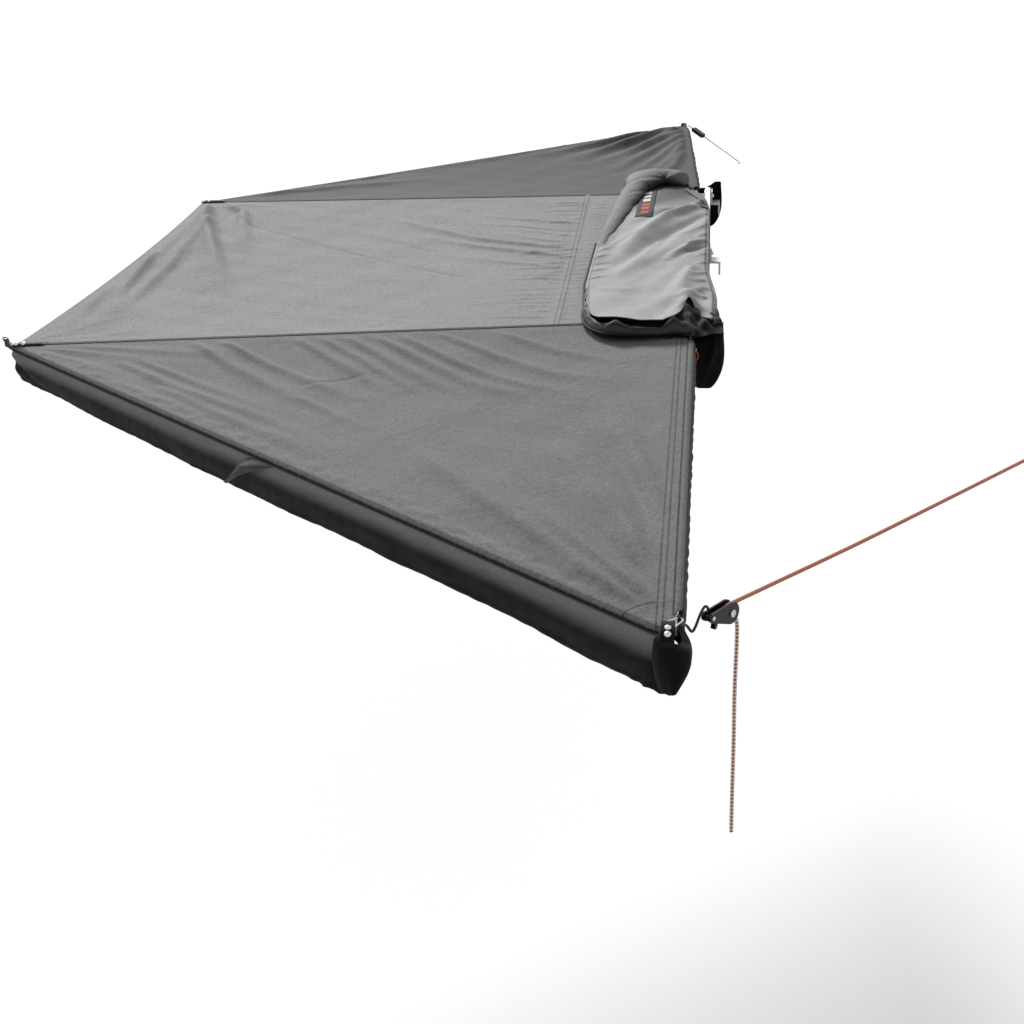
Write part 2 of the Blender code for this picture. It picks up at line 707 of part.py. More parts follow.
def make_cover(inner_x, floor):
    """The cover, thrown back over the canopy, with a roll at its front end."""
    rows, columns = 22, 8
    rise = (ARM_LEVEL[2] + CLOTH_ON_ARM - CANOPY_Z) / ARM_REACH
    fall = (ARM_LEVEL[3] + CLOTH_ON_ARM - CANOPY_Z) / ARM_REACH
    under, over = [], []
    for row in range(rows + 1):
        y = COVER_REAR_END + (COVER_FRONT_END - COVER_REAR_END) * row / rows
        share = min(1.0, max(0.0, (y + HUB_Y) / (2 * HUB_Y)))
        slope = fall + (rise - fall) * share
        low_line, high_line = [], []
        for column in range(columns + 1):
            t = column / columns
            x = inner_x - cover_edge(row / rows) * t
            resting = CANOPY_Z + CLOTH + slope * max(0.0, HUB_X - x) + 2 * GAP
            bend = max(0.0, (t - 0.72) / 0.28) ** 2
            base = floor + (resting - floor) * bend if y < FRONT_HUB.y else floor
            roll = math.exp(-((y - (COVER_FRONT_END - 0.16 - 0.9 * max(0.0, t - 0.55))) / 0.16) ** 2)
            swell = COVER_ROLL * roll + 0.012 * math.sin(math.pi * t) ** 2
            low_line.append(Vector((x, y, base)))
            high_line.append(Vector((x, y, base + COVER_SKIN + swell)))
        under.append(low_line)
        over.append(high_line)
    shape = bmesh.new()
    grids = [[[shape.verts.new(p) for p in line] for line in lines] for lines in (under, over)]
    for grid in grids:
        for first, second in zip(grid, grid[1:]):
            loop_faces(shape, first, second, closed=False)
    rims = [[*grid[0], *(line[-1] for line in grid[1:-1]), *reversed(grid[-1]),
             *(line[0] for line in reversed(grid[1:-1]))] for grid in grids]
    loop_faces(shape, *rims)
    piece("bag_cover", shape, cover_cloth(), smooth=True)


def make_zip_pull(left, outside):
    """A zip slider on the rear lining, and the cord loop that swings in its lug."""
    x = left + SLIDER_SIZE
    y = -outside - GAP
    pivot = y - SLIDER_SIZE / 2
    z = LOOP_HEIGHT
    low = (x - SLIDER_SIZE / 2, y - SLIDER_SIZE / 3, z - SLIDER_SIZE / 4)
    high = (x + SLIDER_SIZE / 2, y, z + 3 * SLIDER_SIZE / 4)
    slider = piece("zip_slider", box(low, high), plated_steel())
    low = (x - LUG_PLATE / 2, y - SLIDER_SIZE, z - SLIDER_SIZE / 2)
    high = (x + LUG_PLATE / 2, y - SLIDER_SIZE / 6, z + SLIDER_SIZE / 2)
    boolean(slider, cutter("slider_lug", box(low, high)), "UNION")
    ring = circle((pivot, z), LOOP_WIRE + LOOP_CLEAR, SMALL_ROUND)
    hole = prism(ring, x - SLIDER_SIZE, x + SLIDER_SIZE, along_x)
    boolean(slider, cutter("slider_lug_hole", hole))
    carrier = frame_at("zip_pull_axis", (x, pivot, z))
    loop = [(0.75 * a, 0, b - LOOP_RADIUS) for a, b in circle((0, 0), LOOP_RADIUS)]
    piece("zip_pull_loop", swept(loop, LOOP_WIRE, closed=True), orange_cord(), carrier, smooth=True)


def ring_around_stud(length):
    """A long ring that lies flat, with its back drawn against a stud at the origin."""
    radius = RING_INNER + RING_WIRE
    back = radius - STUD_RADIUS - GAP - RING_WIRE
    small = 0.6 * radius
    points = arc((back, 0), radius, 90, 270, ROUND // 2)
    points += arc((length - small, 0), small, -80, 80, ROUND // 2)
    return swept([(x, y, 0) for x, y in points], RING_WIRE, closed=True)


def make_rear_guy(arm, flap):
    """Ring, hook, ratchet and rope. Local X runs along the rope, from the stud."""
    carrier = frame_at("rear_guy_axis", (ARM_REACH, 0, RING_ON_ARM), REAR_GUY_HEADING - ARM_HEADING[4])
    carrier.parent = arm
    piece("corner_ring_rear", ring_around_stud(REAR_RING_LENGTH), plated_steel(), carrier, smooth=True)
    axle = (AXLE_AT, -ROPE_DROP - WRAP_RADIUS)
    eye = (HOOK_PIN_AT, axle[1] + 0.35 * CHEEK_RADIUS)
    make_rear_hook(carrier, flap, eye)
    make_ratchet_body(carrier, axle, eye)
    make_pulley(carrier, axle)
    make_lever(carrier, axle[1])
    make_rope(carrier, axle)
    rope_end = AXLE_AT + ROPE_LENGTH
    make_hook("rear_guy_end_hook", rope_end + GAP, END_HOOK_WIRE, ROPE_RISE - ROPE_DROP, carrier)


def make_rear_hook(carrier, flap, eye):
    """The bent hook from the ring to the ratchet, and the notch that it needs in the side flap."""
    bar = REAR_RING_LENGTH - RING_WIRE - GAP - HOOK_WIRE
    route = [(bar - 0.006, 0.008), (bar - 0.001, 0.0045), (bar, -0.004), (bar + 0.004, -0.0115),
             (bar + 0.018, -0.017), (bar + 0.028, -0.028), (bar + 0.036, -0.036), (bar + 0.045, -0.030),
             (bar + 0.060, -0.008), (bar + 0.072, 0.002), (eye[0] - 0.004, -0.003),
             (eye[0], eye[1] + HOOK_PIN_RADIUS + HOOK_WIRE)]
    line = smooth_line([(x, 0, z) for x, z in route], 1.5 * HOOK_WIRE)
    hook = piece("rear_guy_hook", swept(line, HOOK_WIRE), black_metal(), carrier, smooth=True)
    around = [(x, 0, z) for x, z in circle(eye, HOOK_PIN_RADIUS + HOOK_WIRE + 2 * GAP, SMALL_ROUND)]
    boolean(hook, cutter("hook_eye", swept(around, HOOK_WIRE, closed=True), carrier), "UNION")
    half = NOTCH_WIDTH / 2
    notch = box((bar - 2 * half, -half, -NOTCH_DEPTH), (bar + 2 * half, half, NOTCH_DEPTH))
    boolean(flap, cutter("hook_notch", notch, carrier))


def make_ratchet_body(carrier, axle, eye):
    """Two cheeks, held apart by the axle and by the pin that takes the hook."""
    inside = PULLEY_THICK / 2 + GAP
    outline = arc(axle, CHEEK_RADIUS, -110, 100, ROUND) + arc(eye, HOOK_END_RADIUS, 105, 250, ROUND // 2)
    holes = (("axle", axle, AXLE_RADIUS), ("hook_pin", eye, HOOK_PIN_RADIUS),
             ("lever_pin", (LEVER_AT, axle[1]), HOOK_PIN_RADIUS))
    for side, low in (("left", inside), ("right", -inside - CHEEK_THICK)):
        shape = prism(outline, low, low + CHEEK_THICK, along_y)
        cheek = piece(f"ratchet_cheek_{side}", shape, black_metal(), carrier, smooth=True)
        for name, centre, radius in holes:
            ring = circle(centre, radius + GAP, SMALL_ROUND)
            hole = prism(ring, low - CHEEK_THICK, low + 2 * CHEEK_THICK, along_y)
            boolean(cheek, cutter(f"{name}_hole_{side}", hole, carrier))
    outside = inside + CHEEK_THICK + GAP
    pins = (("ratchet_axle", axle, AXLE_RADIUS, AXLE_HEAD_RADIUS, AXLE_HEAD),
            ("ratchet_hook_pin", eye, HOOK_PIN_RADIUS, PIN_RIVET_RADIUS, AXLE_HEAD / 2))
    for name, centre, radius, head, thick in pins:
        profile = [(0, -outside - thick), (head, -outside - thick), (head, -outside), (radius, -outside),
                   (radius, outside), (head, outside), (head, outside + thick), (0, outside + thick)]
        pin = piece(name, turned(profile, SMALL_ROUND), plated_steel(), carrier, smooth=True)
        pin.location = (centre[0], 0, centre[1])
        pin.rotation_euler.x = math.pi / 2


def make_pulley(carrier, axle):
    """The grooved wheel that the rope lies in."""
    wheel = frame_at("ratchet_pulley_axis", (axle[0], 0, axle[1]))
    wheel.parent = carrier
    rim, groove = PULLEY_THICK / 2, GROOVE_WIDTH / 2
    floor = WRAP_RADIUS - ROPE_RADIUS - GAP
    bore = AXLE_RADIUS + GAP
    profile = [(bore, -rim), (PULLEY_RADIUS, -rim), (PULLEY_RADIUS, -groove), (floor, -groove),
               (floor, groove), (PULLEY_RADIUS, groove), (PULLEY_RADIUS, rim), (bore, rim)]
    turns = [2 * math.pi * k / ROUND for k in range(ROUND)]
    shape = bmesh.new()
    rings = [[shape.verts.new((r * math.cos(t), y, r * math.sin(t))) for t in turns] for r, y in profile]
    for first, second in zip(rings, rings[1:] + rings[:1]):
        loop_faces(shape, first, second)
    piece("ratchet_pulley", shape, black_metal(), wheel, smooth=True)


def make_lever(carrier, height):
    """The release lever, with a pin on each side that turns in the cheeks."""
    pivot = frame_at("ratchet_lever_axis", (LEVER_AT, 0, height))
    pivot.parent = carrier
    half = LEVER_THICK / 2
    blade = [(-0.010, -0.020), (-0.004, -0.021), (0.001, -0.009), (0.0055, -0.0045), (0.006, 0.004),
             (0.0, 0.0075), (-0.006, 0.004), (-0.008, -0.010)]
    lever = piece("ratchet_lever", prism(blade, -half, half, along_y), black_metal(), pivot, smooth=True)
    reach = PULLEY_THICK / 2 + GAP + CHEEK_THICK
    pins = prism(circle((0, 0), HOOK_PIN_RADIUS, SMALL_ROUND), -reach, reach, along_y)
    boolean(lever, cutter("lever_pins", pins, pivot), "UNION")


def around_groove(axle, start, end):
    """Points in the pulley's groove between two angles, in degrees. A short last step squares the end."""
    shares = [0, 0.2, 0.4, 0.6, 0.8, 0.95, 1]
    angles = [math.radians(start + (end - start) * share) for share in shares]
    return [(axle[0] + WRAP_RADIUS * math.cos(a), 0, axle[1] + WRAP_RADIUS * math.sin(a)) for a in angles]


def make_rope(carrier, axle):
    """One rope in two stretches, which meet at the back of the pulley's groove."""
    spacing = 5 * ROPE_RADIUS
    half_gap = math.degrees(GAP / WRAP_RADIUS) + 1
    top = around_groove(axle, 90, 180 - half_gap)
    taut = [(AXLE_AT + ROPE_LENGTH, 0, ROPE_RISE - ROPE_DROP), (0.95, 0, -ROPE_DROP),
            (0.60, 0, -0.003 - ROPE_DROP), (0.30, 0, -0.001 - ROPE_DROP), top[0]]
    cord("rear_guy_rope", [*smooth_line(taut, spacing), *top[1:]], ROPE_RADIUS, rope_fibre(), carrier)
    bottom = around_groove(axle, 270, 180 + half_gap)[::-1]
    low = bottom[-1][2]
    hanging = [bottom[-1], (0.187, 0, low - 0.001), (0.198, 0, low - 0.008), (0.2035, 0, low - 0.022),
               (0.2045, 0, low - 0.06), (0.2035, 0.001, low - 0.16), (0.2050, 0.001, low - 0.27),
               (0.2035, 0, low - 0.38), (0.2030, -0.001, low - 0.466)]
    cord("rear_guy_tail", [*bottom[:-1], *smooth_line(hanging, spacing)], ROPE_RADIUS, rope_fibre(), carrier)


def make_hook(name, start, wire, height, carrier):
    """An open hook that lies flat. Its eye meets the cord's end."""
    eye = 2.2 * wire
    bend = 3.2 * wire
    centre = start + eye + wire
    far = centre + eye + 5 * wire
    ring = [(x, y, height) for x, y in circle((centre, 0), eye, SMALL_ROUND)]
    hook = piece(name, swept(ring, wire, closed=True), plated_steel(), carrier, smooth=True)
    line = [(centre + eye, 0), (far - 2 * wire, 0), *arc((far, -bend), bend, 90, -100, ROUND // 2)]
    shank = swept([(x, y, height) for x, y in line], SHANK_SHARE * wire)
    boolean(hook, cutter(f"{name}_shank", shank, carrier), "UNION")


def make_front_guy(arm):
    """Ring, cord, tensioner and hook. The cord's frame starts at the ring, with X down the cord."""
    level = frame_at("front_guy_axis", (ARM_REACH, 0, RING_ON_ARM), FRONT_GUY_HEADING - ARM_HEADING[1])
    level.parent = arm
    piece("corner_ring_front", ring_around_stud(FRONT_RING_LENGTH), plated_steel(), level, smooth=True)
    carrier = frame_at("front_cord_axis", (FRONT_RING_LENGTH, 0, 0))
    carrier.parent = level
    carrier.rotation_euler.y = FRONT_GUY_FALL
    start = RING_WIRE + GAP
    end = start + FRONT_CORD_LENGTH
    points = smooth_line([(start, 0, 0), (end, 0, 0)], 6 * CORD_RADIUS)
    cord("front_guy_cord", points, CORD_RADIUS, cord_fibre(), carrier)
    slider = frame_at("cord_tensioner_slide", (TENSIONER_AT, 0, 0))
    slider.parent = carrier
    half = TENSIONER_WIDTH / 2
    shoulder = TENSIONER_LENGTH / 12
    outline = [(0, shoulder - half), (shoulder, -half), (TENSIONER_LENGTH - shoulder, -half),
               (TENSIONER_LENGTH, shoulder - half), (TENSIONER_LENGTH, half - shoulder),
               (TENSIONER_LENGTH - shoulder, half), (shoulder, half), (0, half - shoulder)]
    shape = prism(outline, -TENSIONER_THICK / 2, TENSIONER_THICK / 2, along_z)
    tensioner = piece("cord_tensioner", shape, black_plastic(), slider)
    ring = circle((0, 0), CORD_RADIUS + CORD_CLEAR, SMALL_ROUND)
    hole = prism(ring, -TENSIONER_LENGTH, 2 * TENSIONER_LENGTH, along_x)
    boolean(tensioner, cutter("cord_hole", hole, slider))
    make_hook("front_guy_end_hook", end + GAP, FRONT_HOOK_WIRE, 0.0, carrier)


def main():
    clear_scene()
    root = frame_at("mounting_frame", (0, 0, 0))
    rail = make_rail()
    back_panel = make_bag()
    make_brackets(rail, back_panel)
    make_hub("front", FRONT_HUB, 1, 2)
    make_hub("rear", REAR_HUB, 4, 3)
    carriers = {number: make_arm(number) for number in (1, 2, 3, 4)}
    bpy.context.view_layer.update()
    make_canopy(carriers, root)
    flaps = make_valances(carriers, root)
    make_rear_guy(carriers[4], flaps["rear"])
    make_front_guy(carriers[1])


main()
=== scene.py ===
# %% [markdown]
# # A fan-shaped side awning, opened flat
#
# A rail on the vehicle's roof rack carries two hubs. Each hub carries two folding arms, and one canopy is
# stretched over the four arm tips. The bag that it travels in stays on the rail, thrown back over the
# canopy. The solid model of all this is loaded first, and it stays as it is. Everything below dresses it:
# first the camera, then the ropes, the canopy, the bag and last the metal and plastic.

# %% Load the solid model
import json
import math

import bmesh
import bpy
import numpy as np
from mathutils import Matrix, Vector

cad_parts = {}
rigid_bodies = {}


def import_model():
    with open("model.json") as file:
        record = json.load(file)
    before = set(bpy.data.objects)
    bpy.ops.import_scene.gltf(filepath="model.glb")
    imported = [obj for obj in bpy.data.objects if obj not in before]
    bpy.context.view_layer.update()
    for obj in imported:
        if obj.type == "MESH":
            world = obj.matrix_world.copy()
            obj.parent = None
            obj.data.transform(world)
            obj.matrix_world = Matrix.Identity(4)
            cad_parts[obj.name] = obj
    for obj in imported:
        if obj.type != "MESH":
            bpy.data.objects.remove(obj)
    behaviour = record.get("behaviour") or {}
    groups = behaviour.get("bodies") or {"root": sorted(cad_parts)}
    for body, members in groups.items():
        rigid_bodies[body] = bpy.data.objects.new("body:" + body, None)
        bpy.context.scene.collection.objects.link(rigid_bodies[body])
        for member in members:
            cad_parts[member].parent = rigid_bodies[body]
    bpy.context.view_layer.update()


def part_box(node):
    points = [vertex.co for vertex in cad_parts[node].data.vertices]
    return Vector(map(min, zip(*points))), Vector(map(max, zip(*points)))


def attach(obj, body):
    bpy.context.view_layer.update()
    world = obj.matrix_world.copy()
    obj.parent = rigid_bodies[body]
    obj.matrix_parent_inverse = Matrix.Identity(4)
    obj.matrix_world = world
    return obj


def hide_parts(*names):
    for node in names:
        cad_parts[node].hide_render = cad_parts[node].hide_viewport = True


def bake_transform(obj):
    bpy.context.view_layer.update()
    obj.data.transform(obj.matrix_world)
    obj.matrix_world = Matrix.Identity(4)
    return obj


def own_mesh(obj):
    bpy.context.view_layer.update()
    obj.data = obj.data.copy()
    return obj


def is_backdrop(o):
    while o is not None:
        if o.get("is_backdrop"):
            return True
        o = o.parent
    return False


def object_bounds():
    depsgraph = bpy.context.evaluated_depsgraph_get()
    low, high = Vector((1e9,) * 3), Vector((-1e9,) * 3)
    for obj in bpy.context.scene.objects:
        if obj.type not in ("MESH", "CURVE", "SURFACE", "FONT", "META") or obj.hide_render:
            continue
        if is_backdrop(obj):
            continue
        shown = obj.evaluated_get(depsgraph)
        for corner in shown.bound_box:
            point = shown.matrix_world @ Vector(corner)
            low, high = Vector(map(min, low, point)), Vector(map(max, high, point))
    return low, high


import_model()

# %% [markdown]
# ## The camera
#
# The photograph was taken from behind the vehicle, a little above the canopy and close to its rear corner,
# which is why that corner looks so large. The place and the angles below make the two hubs and the four
# arm tips fall where the photograph shows them. A lens is given in millimetres on a 36 mm sensor.

# %% Camera
CAMERA_PLACE = Vector((-0.0435, -5.837, 1.2736))
CAMERA_YAW = math.radians(6.683)
CAMERA_PITCH = math.radians(20.346)
CAMERA_ROLL = math.radians(-1.135)
FOCAL_PIXELS = 1733.3
PICTURE_PIXELS = 1024

lens = bpy.data.cameras.new("camera")
lens.sensor_width = 36
lens.lens = FOCAL_PIXELS * lens.sensor_width / PICTURE_PIXELS
lens.clip_end = 500
camera = bpy.data.objects.new("camera", lens)
turn = (Matrix.Rotation(CAMERA_YAW, 4, "Z") @ Matrix.Rotation(math.pi / 2 - CAMERA_PITCH, 4, "X")
        @ Matrix.Rotation(CAMERA_ROLL, 4, "Z"))
camera.matrix_world = Matrix.Translation(CAMERA_PLACE) @ turn
bpy.context.scene.collection.objects.link(camera)
bpy.context.scene.camera = camera
print("lens", round(lens.lens, 1), "mm")

# %% [markdown]
# ## Colours and nodes
#
# A colour is written as it looks on a screen, in sRGB hex. Blender mixes light in linear values, so one
# function converts. A second one adds any shader node with its settings and links. The short ones after it
# add the nodes that come back in every material, so that each can be read as a recipe.

# %% Colour and node helpers
def colour(code):
    """An sRGB hex colour in linear values."""
    parts = [int(code[k:k + 2], 16) / 255 for k in (1, 3, 5)]
    return (*(p / 12.92 if p <= 0.04045 else ((p + 0.055) / 1.055) ** 2.4 for p in parts), 1.0)


def add(tree, kind, settings=None, inputs=None):
    """Adds a node. An input takes a value, or another node's output to be linked to."""
    node = tree.nodes.new("ShaderNode" + kind)
    for name, value in (settings or {}).items():
        setattr(node, name, value)
    for name, value in (inputs or {}).items():
        if isinstance(value, bpy.types.NodeSocket):
            tree.links.new(value, node.inputs[name])
        else:
            node.inputs[name].default_value = value
    return node


def start_material(name, roughness, metallic=0.0):
    """A new material, its node tree and its shader."""
    look = bpy.data.materials.new(name)
    look.use_nodes = True
    shader = look.node_tree.nodes["Principled BSDF"]
    shader.inputs["Roughness"].default_value = roughness
    shader.inputs["Metallic"].default_value = metallic
    return look, look.node_tree, shader


def maths(tree, operation, *values):
    """The output of a maths node."""
    return add(tree, "Math", {"operation": operation}, dict(enumerate(values))).outputs[0]


def spread(tree, value, low, high, least, most):
    """A value between low and high, spread evenly from least to most."""
    return add(tree, "MapRange", None, {"Value": value, "From Min": low, "From Max": high,
                                        "To Min": least, "To Max": most}).outputs[0]


def mixed(tree, share, first, second):
    """A colour between two others, by a share from 0 to 1."""
    return add(tree, "Mix", {"data_type": "RGBA"}, {0: share, 6: first, 7: second}).outputs[2]


def scaled(tree, tint, share):
    """A colour made darker or lighter by a share."""
    return add(tree, "VectorMath", {"operation": "SCALE"}, {0: tint, "Scale": share}).outputs[0]


def link_look(tree, shader, tint, height, strength, distance):
    """Links a colour to the shader, and a height through a bump node to its normal."""
    lift = add(tree, "Bump", None, {"Strength": strength, "Distance": distance, "Height": height})
    tree.links.new(tint, shader.inputs["Base Color"])
    tree.links.new(lift.outputs[0], shader.inputs["Normal"])

# %% [markdown]
# ## Light and floor
#
# Plain studio light: a white world fills the shadows, and one wide lamp stands behind the awning, so low
# that it grazes the cloth and every fold shows a light and a dark side. The floor is where the ground would
# be under a roof rack. It is white, and it keeps the awning's soft shadow.

# %% Light and floor
GROUND = -2.0
# the white world's strength on the awning, where 1 is what the camera sees of it
SHADOW_SKY = 0.38
FLOOR_GLOW = 0.20

bpy.context.scene.view_settings.view_transform = "Standard"
world = bpy.data.worlds.new("white_studio")
bpy.context.scene.world = world
world.use_nodes = True
sky = world.node_tree
seen = add(sky, "LightPath")
direct = maths(sky, "MAXIMUM", seen.outputs["Is Camera Ray"], seen.outputs["Is Glossy Ray"])
direct = maths(sky, "MAXIMUM", direct, seen.outputs["Is Transmission Ray"])
sky.nodes["Background"].inputs["Color"].default_value = (1, 1, 1, 1)
sky.links.new(spread(sky, direct, 0, 1, SHADOW_SKY, 1), sky.nodes["Background"].inputs["Strength"])

lamp = bpy.data.lights.new("wide_lamp", "SUN")
lamp.energy = 4.3
lamp.angle = math.radians(14)
lamp_holder = bpy.data.objects.new("wide_lamp", lamp)
lamp_holder.rotation_euler = (math.radians(-63), 0, math.radians(19))
bpy.context.scene.collection.objects.link(lamp_holder)

bpy.ops.object.select_all(action="DESELECT")
bpy.ops.mesh.primitive_plane_add(size=300, location=(0, 0, GROUND))
floor = bpy.context.object
floor.name = "floor"
look, tree, shader = start_material("white_floor", 0.9)
shader.inputs["Base Color"].default_value = colour("#f0f0f0")
shader.inputs["Specular IOR Level"].default_value = 0.0
seen = add(tree, "LightPath")
shader.inputs["Emission Color"].default_value = (1, 1, 1, 1)
glow = maths(tree, "MULTIPLY", seen.outputs["Is Camera Ray"], FLOOR_GLOW)
tree.links.new(glow, shader.inputs["Emission Strength"])
floor.data.materials.append(look)
floor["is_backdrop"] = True
print("floor at", GROUND, "m")

# %% [markdown]
# ## Ropes and cords
#
# Both corners of the awning that are next to the vehicle are pulled tight by a guy: an 8 mm rope through a
# ratchet at the near corner, and a 4 mm cord with a block tensioner at the far one. A rope is round all
# along, so it is a tube: rings of points are set square to a smooth line and joined. Its own UV map holds
# metres along the rope and turns around it, and the braid is drawn on that.

# %% Tubes along a line
def smooth_line(points, spacing):
    """Points about one spacing apart, on a smooth curve through the given ones."""
    route = [Vector(p) for p in points]
    ends = [2 * route[0] - route[1], *route, 2 * route[-1] - route[-2]]
    found = []
    for a, b, c, d in zip(ends, ends[1:], ends[2:], ends[3:]):
        steps = max(1, round((c - b).length / spacing))
        for k in range(steps):
            t = k / steps
            found.append(0.5 * (2 * b + (c - a) * t + (2 * a - 5 * b + 4 * c - d) * t * t
                                + (3 * b - a - 3 * c + d) * t ** 3))
    return [*found, route[-1]]


def tube(name, line, radius, look, sides=16):
    """A closed round bar along a line. The UV map is metres along, and turns around."""
    shape = bmesh.new()
    marks = shape.loops.layers.uv.new("along_and_around")
    rings, lengths, side = [], [], None
    for k, place in enumerate(line):
        ahead = (line[min(k + 1, len(line) - 1)] - line[max(k - 1, 0)]).normalized()
        side = side or ahead.orthogonal()
        side = (side - ahead * side.dot(ahead)).normalized()
        up = ahead.cross(side)
        turns = [2 * math.pi * n / sides for n in range(sides)]
        rings.append([shape.verts.new(place + radius * (side * math.cos(t) + up * math.sin(t)))
                      for t in turns])
        lengths.append(lengths[-1] + (place - line[k - 1]).length if k else 0.0)
    for k, (first, second) in enumerate(zip(rings, rings[1:])):
        for n in range(sides):
            corners = ((first, n, lengths[k]), (first, n + 1, lengths[k]),
                       (second, n + 1, lengths[k + 1]), (second, n, lengths[k + 1]))
            face = shape.faces.new([ring[at % sides] for ring, at, _ in corners])
            face.smooth = True
            for loop, (_, at, along) in zip(face.loops, corners):
                loop[marks].uv = (along, at / sides)
    shape.faces.new(rings[0][::-1])
    shape.faces.new(rings[-1])
    bmesh.ops.recalc_face_normals(shape, faces=shape.faces)
    mesh = bpy.data.meshes.new(name)
    shape.to_mesh(mesh)
    shape.free()
    mesh.materials.append(look)
    made = bpy.data.objects.new(name, mesh)
    bpy.context.scene.collection.objects.link(made)
    print(name, round(lengths[-1], 3), "m long")
    return made, lengths[-1]

# %% [markdown]
# The sheath is braided polyester: two sets of yarns cross on a slant, and each shows as a row of small
# ovals. The product of two waves that run round the rope in opposite directions makes just those ovals.
# The yarns are 3.5 mm long on the taut rope, a little coarser than real ones, so that they show from a few
# metres. On the slack tail the braid opens and its pale flecks stand out, so there they are 8 mm long.

# %% Braided sheath
def braided(name, yarn, fleck, share, pitch):
    """A braid of one yarn colour with flecks of another. The pitch is one yarn's length, in metres."""
    look, tree, shader = start_material(name, 0.62)
    marks = add(tree, "UVMap", {"uv_map": "along_and_around"})
    place = add(tree, "SeparateXYZ", None, {0: marks.outputs[0]})
    along = maths(tree, "MULTIPLY", place.outputs[0], math.pi / pitch)
    around = maths(tree, "MULTIPLY", place.outputs[1], 4 * math.pi)
    waves = [maths(tree, "SINE", maths(tree, way, along, around)) for way in ("ADD", "SUBTRACT")]
    ovals = maths(tree, "MULTIPLY", *waves)
    spots = spread(tree, ovals, share - 0.15, share + 0.15, 0, 1)
    link_look(tree, shader, mixed(tree, spots, colour(yarn), colour(fleck)), ovals, 0.8, 0.0006)
    return look


tight_sheath = braided("polyester_braid_taut", "#a9583f", "#d99c86", 0.35, 0.0035)
loose_sheath = braided("polyester_braid_loose", "#94513f", "#f3e0d5", -0.02, 0.0080)
cord_sheath = braided("black_cord_braid", "#2a2725", "#57524e", 0.55, 0.0025)
print("sheaths made")

# %% [markdown]
# The guys' routes are the solid model's own, point by point. The rope lies in the ratchet's pulley, rises
# slowly toward its far hook just outside the picture, and drops straight down on the other side of the
# pulley, where its last few centimetres still show the curl of the hank that it was sold in.

# %% The rear guy rope
ARM_REACH = 1.98
ROPE_RADIUS = 0.004
ROPE_DROP = 0.017
ROPE_RISE = 0.004
ROPE_LENGTH = 1.145
AXLE_AT = 0.174
WRAP_RADIUS = 0.0135
GROOVE_GAP = 2.3
REAR_GUY_HEADING = math.radians(52)
RING_LEVEL = 0.0054


def centre_of(node):
    """The middle of a node's box."""
    low, high = (Vector(corner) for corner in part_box(node))
    return (low + high) / 2


rear_hub = centre_of("hub_pin_rear")
front_hub = centre_of("hub_pin_front")
rear_stud = Vector((rear_hub.x, rear_hub.y - ARM_REACH, RING_LEVEL))
guy_frame = Matrix.Translation(rear_stud) @ Matrix.Rotation(REAR_GUY_HEADING, 4, "Z")
axle = Vector((AXLE_AT, 0, -ROPE_DROP - WRAP_RADIUS))


def in_groove(start, end):
    """Points in the pulley's groove between two angles, in degrees."""
    angles = [math.radians(start + (end - start) * k / 8) for k in range(9)]
    return [axle + WRAP_RADIUS * Vector((math.cos(a), 0, math.sin(a))) for a in angles]


top = in_groove(90, 180 - GROOVE_GAP)
taut = [(AXLE_AT + ROPE_LENGTH, 0, ROPE_RISE - ROPE_DROP), (0.95, 0, -ROPE_DROP),
        (0.60, 0, -0.003 - ROPE_DROP), (0.30, 0, -0.001 - ROPE_DROP), top[0]]
taut_line = [guy_frame @ p for p in [*smooth_line(taut, 0.012), *top[1:]]]
rope, rope_length = tube("guy_rope_taut", taut_line, ROPE_RADIUS, tight_sheath)

bottom = in_groove(180 + GROOVE_GAP, 270)
low = bottom[-1].z
hanging = [bottom[-1], (0.187, 0, low - 0.001), (0.198, 0, low - 0.008), (0.2035, 0, low - 0.022),
           (0.2045, 0, low - 0.06), (0.2035, 0.001, low - 0.16), (0.2050, 0.001, low - 0.27),
           (0.2035, 0, low - 0.38), (0.2030, -0.001, low - 0.466)]
tail_line = [guy_frame @ p for p in [*bottom[:-1], *smooth_line(hanging, 0.006)]]
tail, tail_length = tube("guy_rope_tail", tail_line, ROPE_RADIUS, loose_sheath)

# %% The front guy cord
CORD_RADIUS = 0.002
FRONT_CORD_LENGTH = 0.440
CORD_IN_RING = 0.0018
front_cord_start = Vector((-0.152391, 2.964955, 0.0614))
front_cord_way = Vector((0.551357, -0.78742, -0.275637))
ends = [front_cord_start + front_cord_way * d for d in (CORD_IN_RING, CORD_IN_RING + FRONT_CORD_LENGTH)]
cord_line = smooth_line(ends, 0.01)
thin_cord, thin_length = tube("front_guy_braid", cord_line, CORD_RADIUS, cord_sheath, sides=12)

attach(rope, "rear_guy")
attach(tail, "rear_guy")
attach(thin_cord, "front_guy")
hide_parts("rear_guy_rope")
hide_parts("rear_guy_tail")
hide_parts("front_guy_cord")

# %% [markdown]
# ## The canopy
#
# The canopy is one skin of coated canvas, sewn from three panels that meet over the two outer arms. Each
# panel is a fine grid, and code moves its points: first to the flat shape between the arms, then down a
# little for the sag, then up and down for the folds. A simulation would find some folds too, but not the
# ones in the photograph, so each fold is given as a line with a width and a height.

# %% Places on the arms
CLOTH = 0.0022
# the canopy's top above the arm tubes
CLOTH_LIFT = 0.005
HEADING = {1: 92.2, 2: 180, 3: 180, 4: 270}
SEAM_GAP = 0.0003
HUB_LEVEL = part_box("canopy_middle_panel")[1][2]


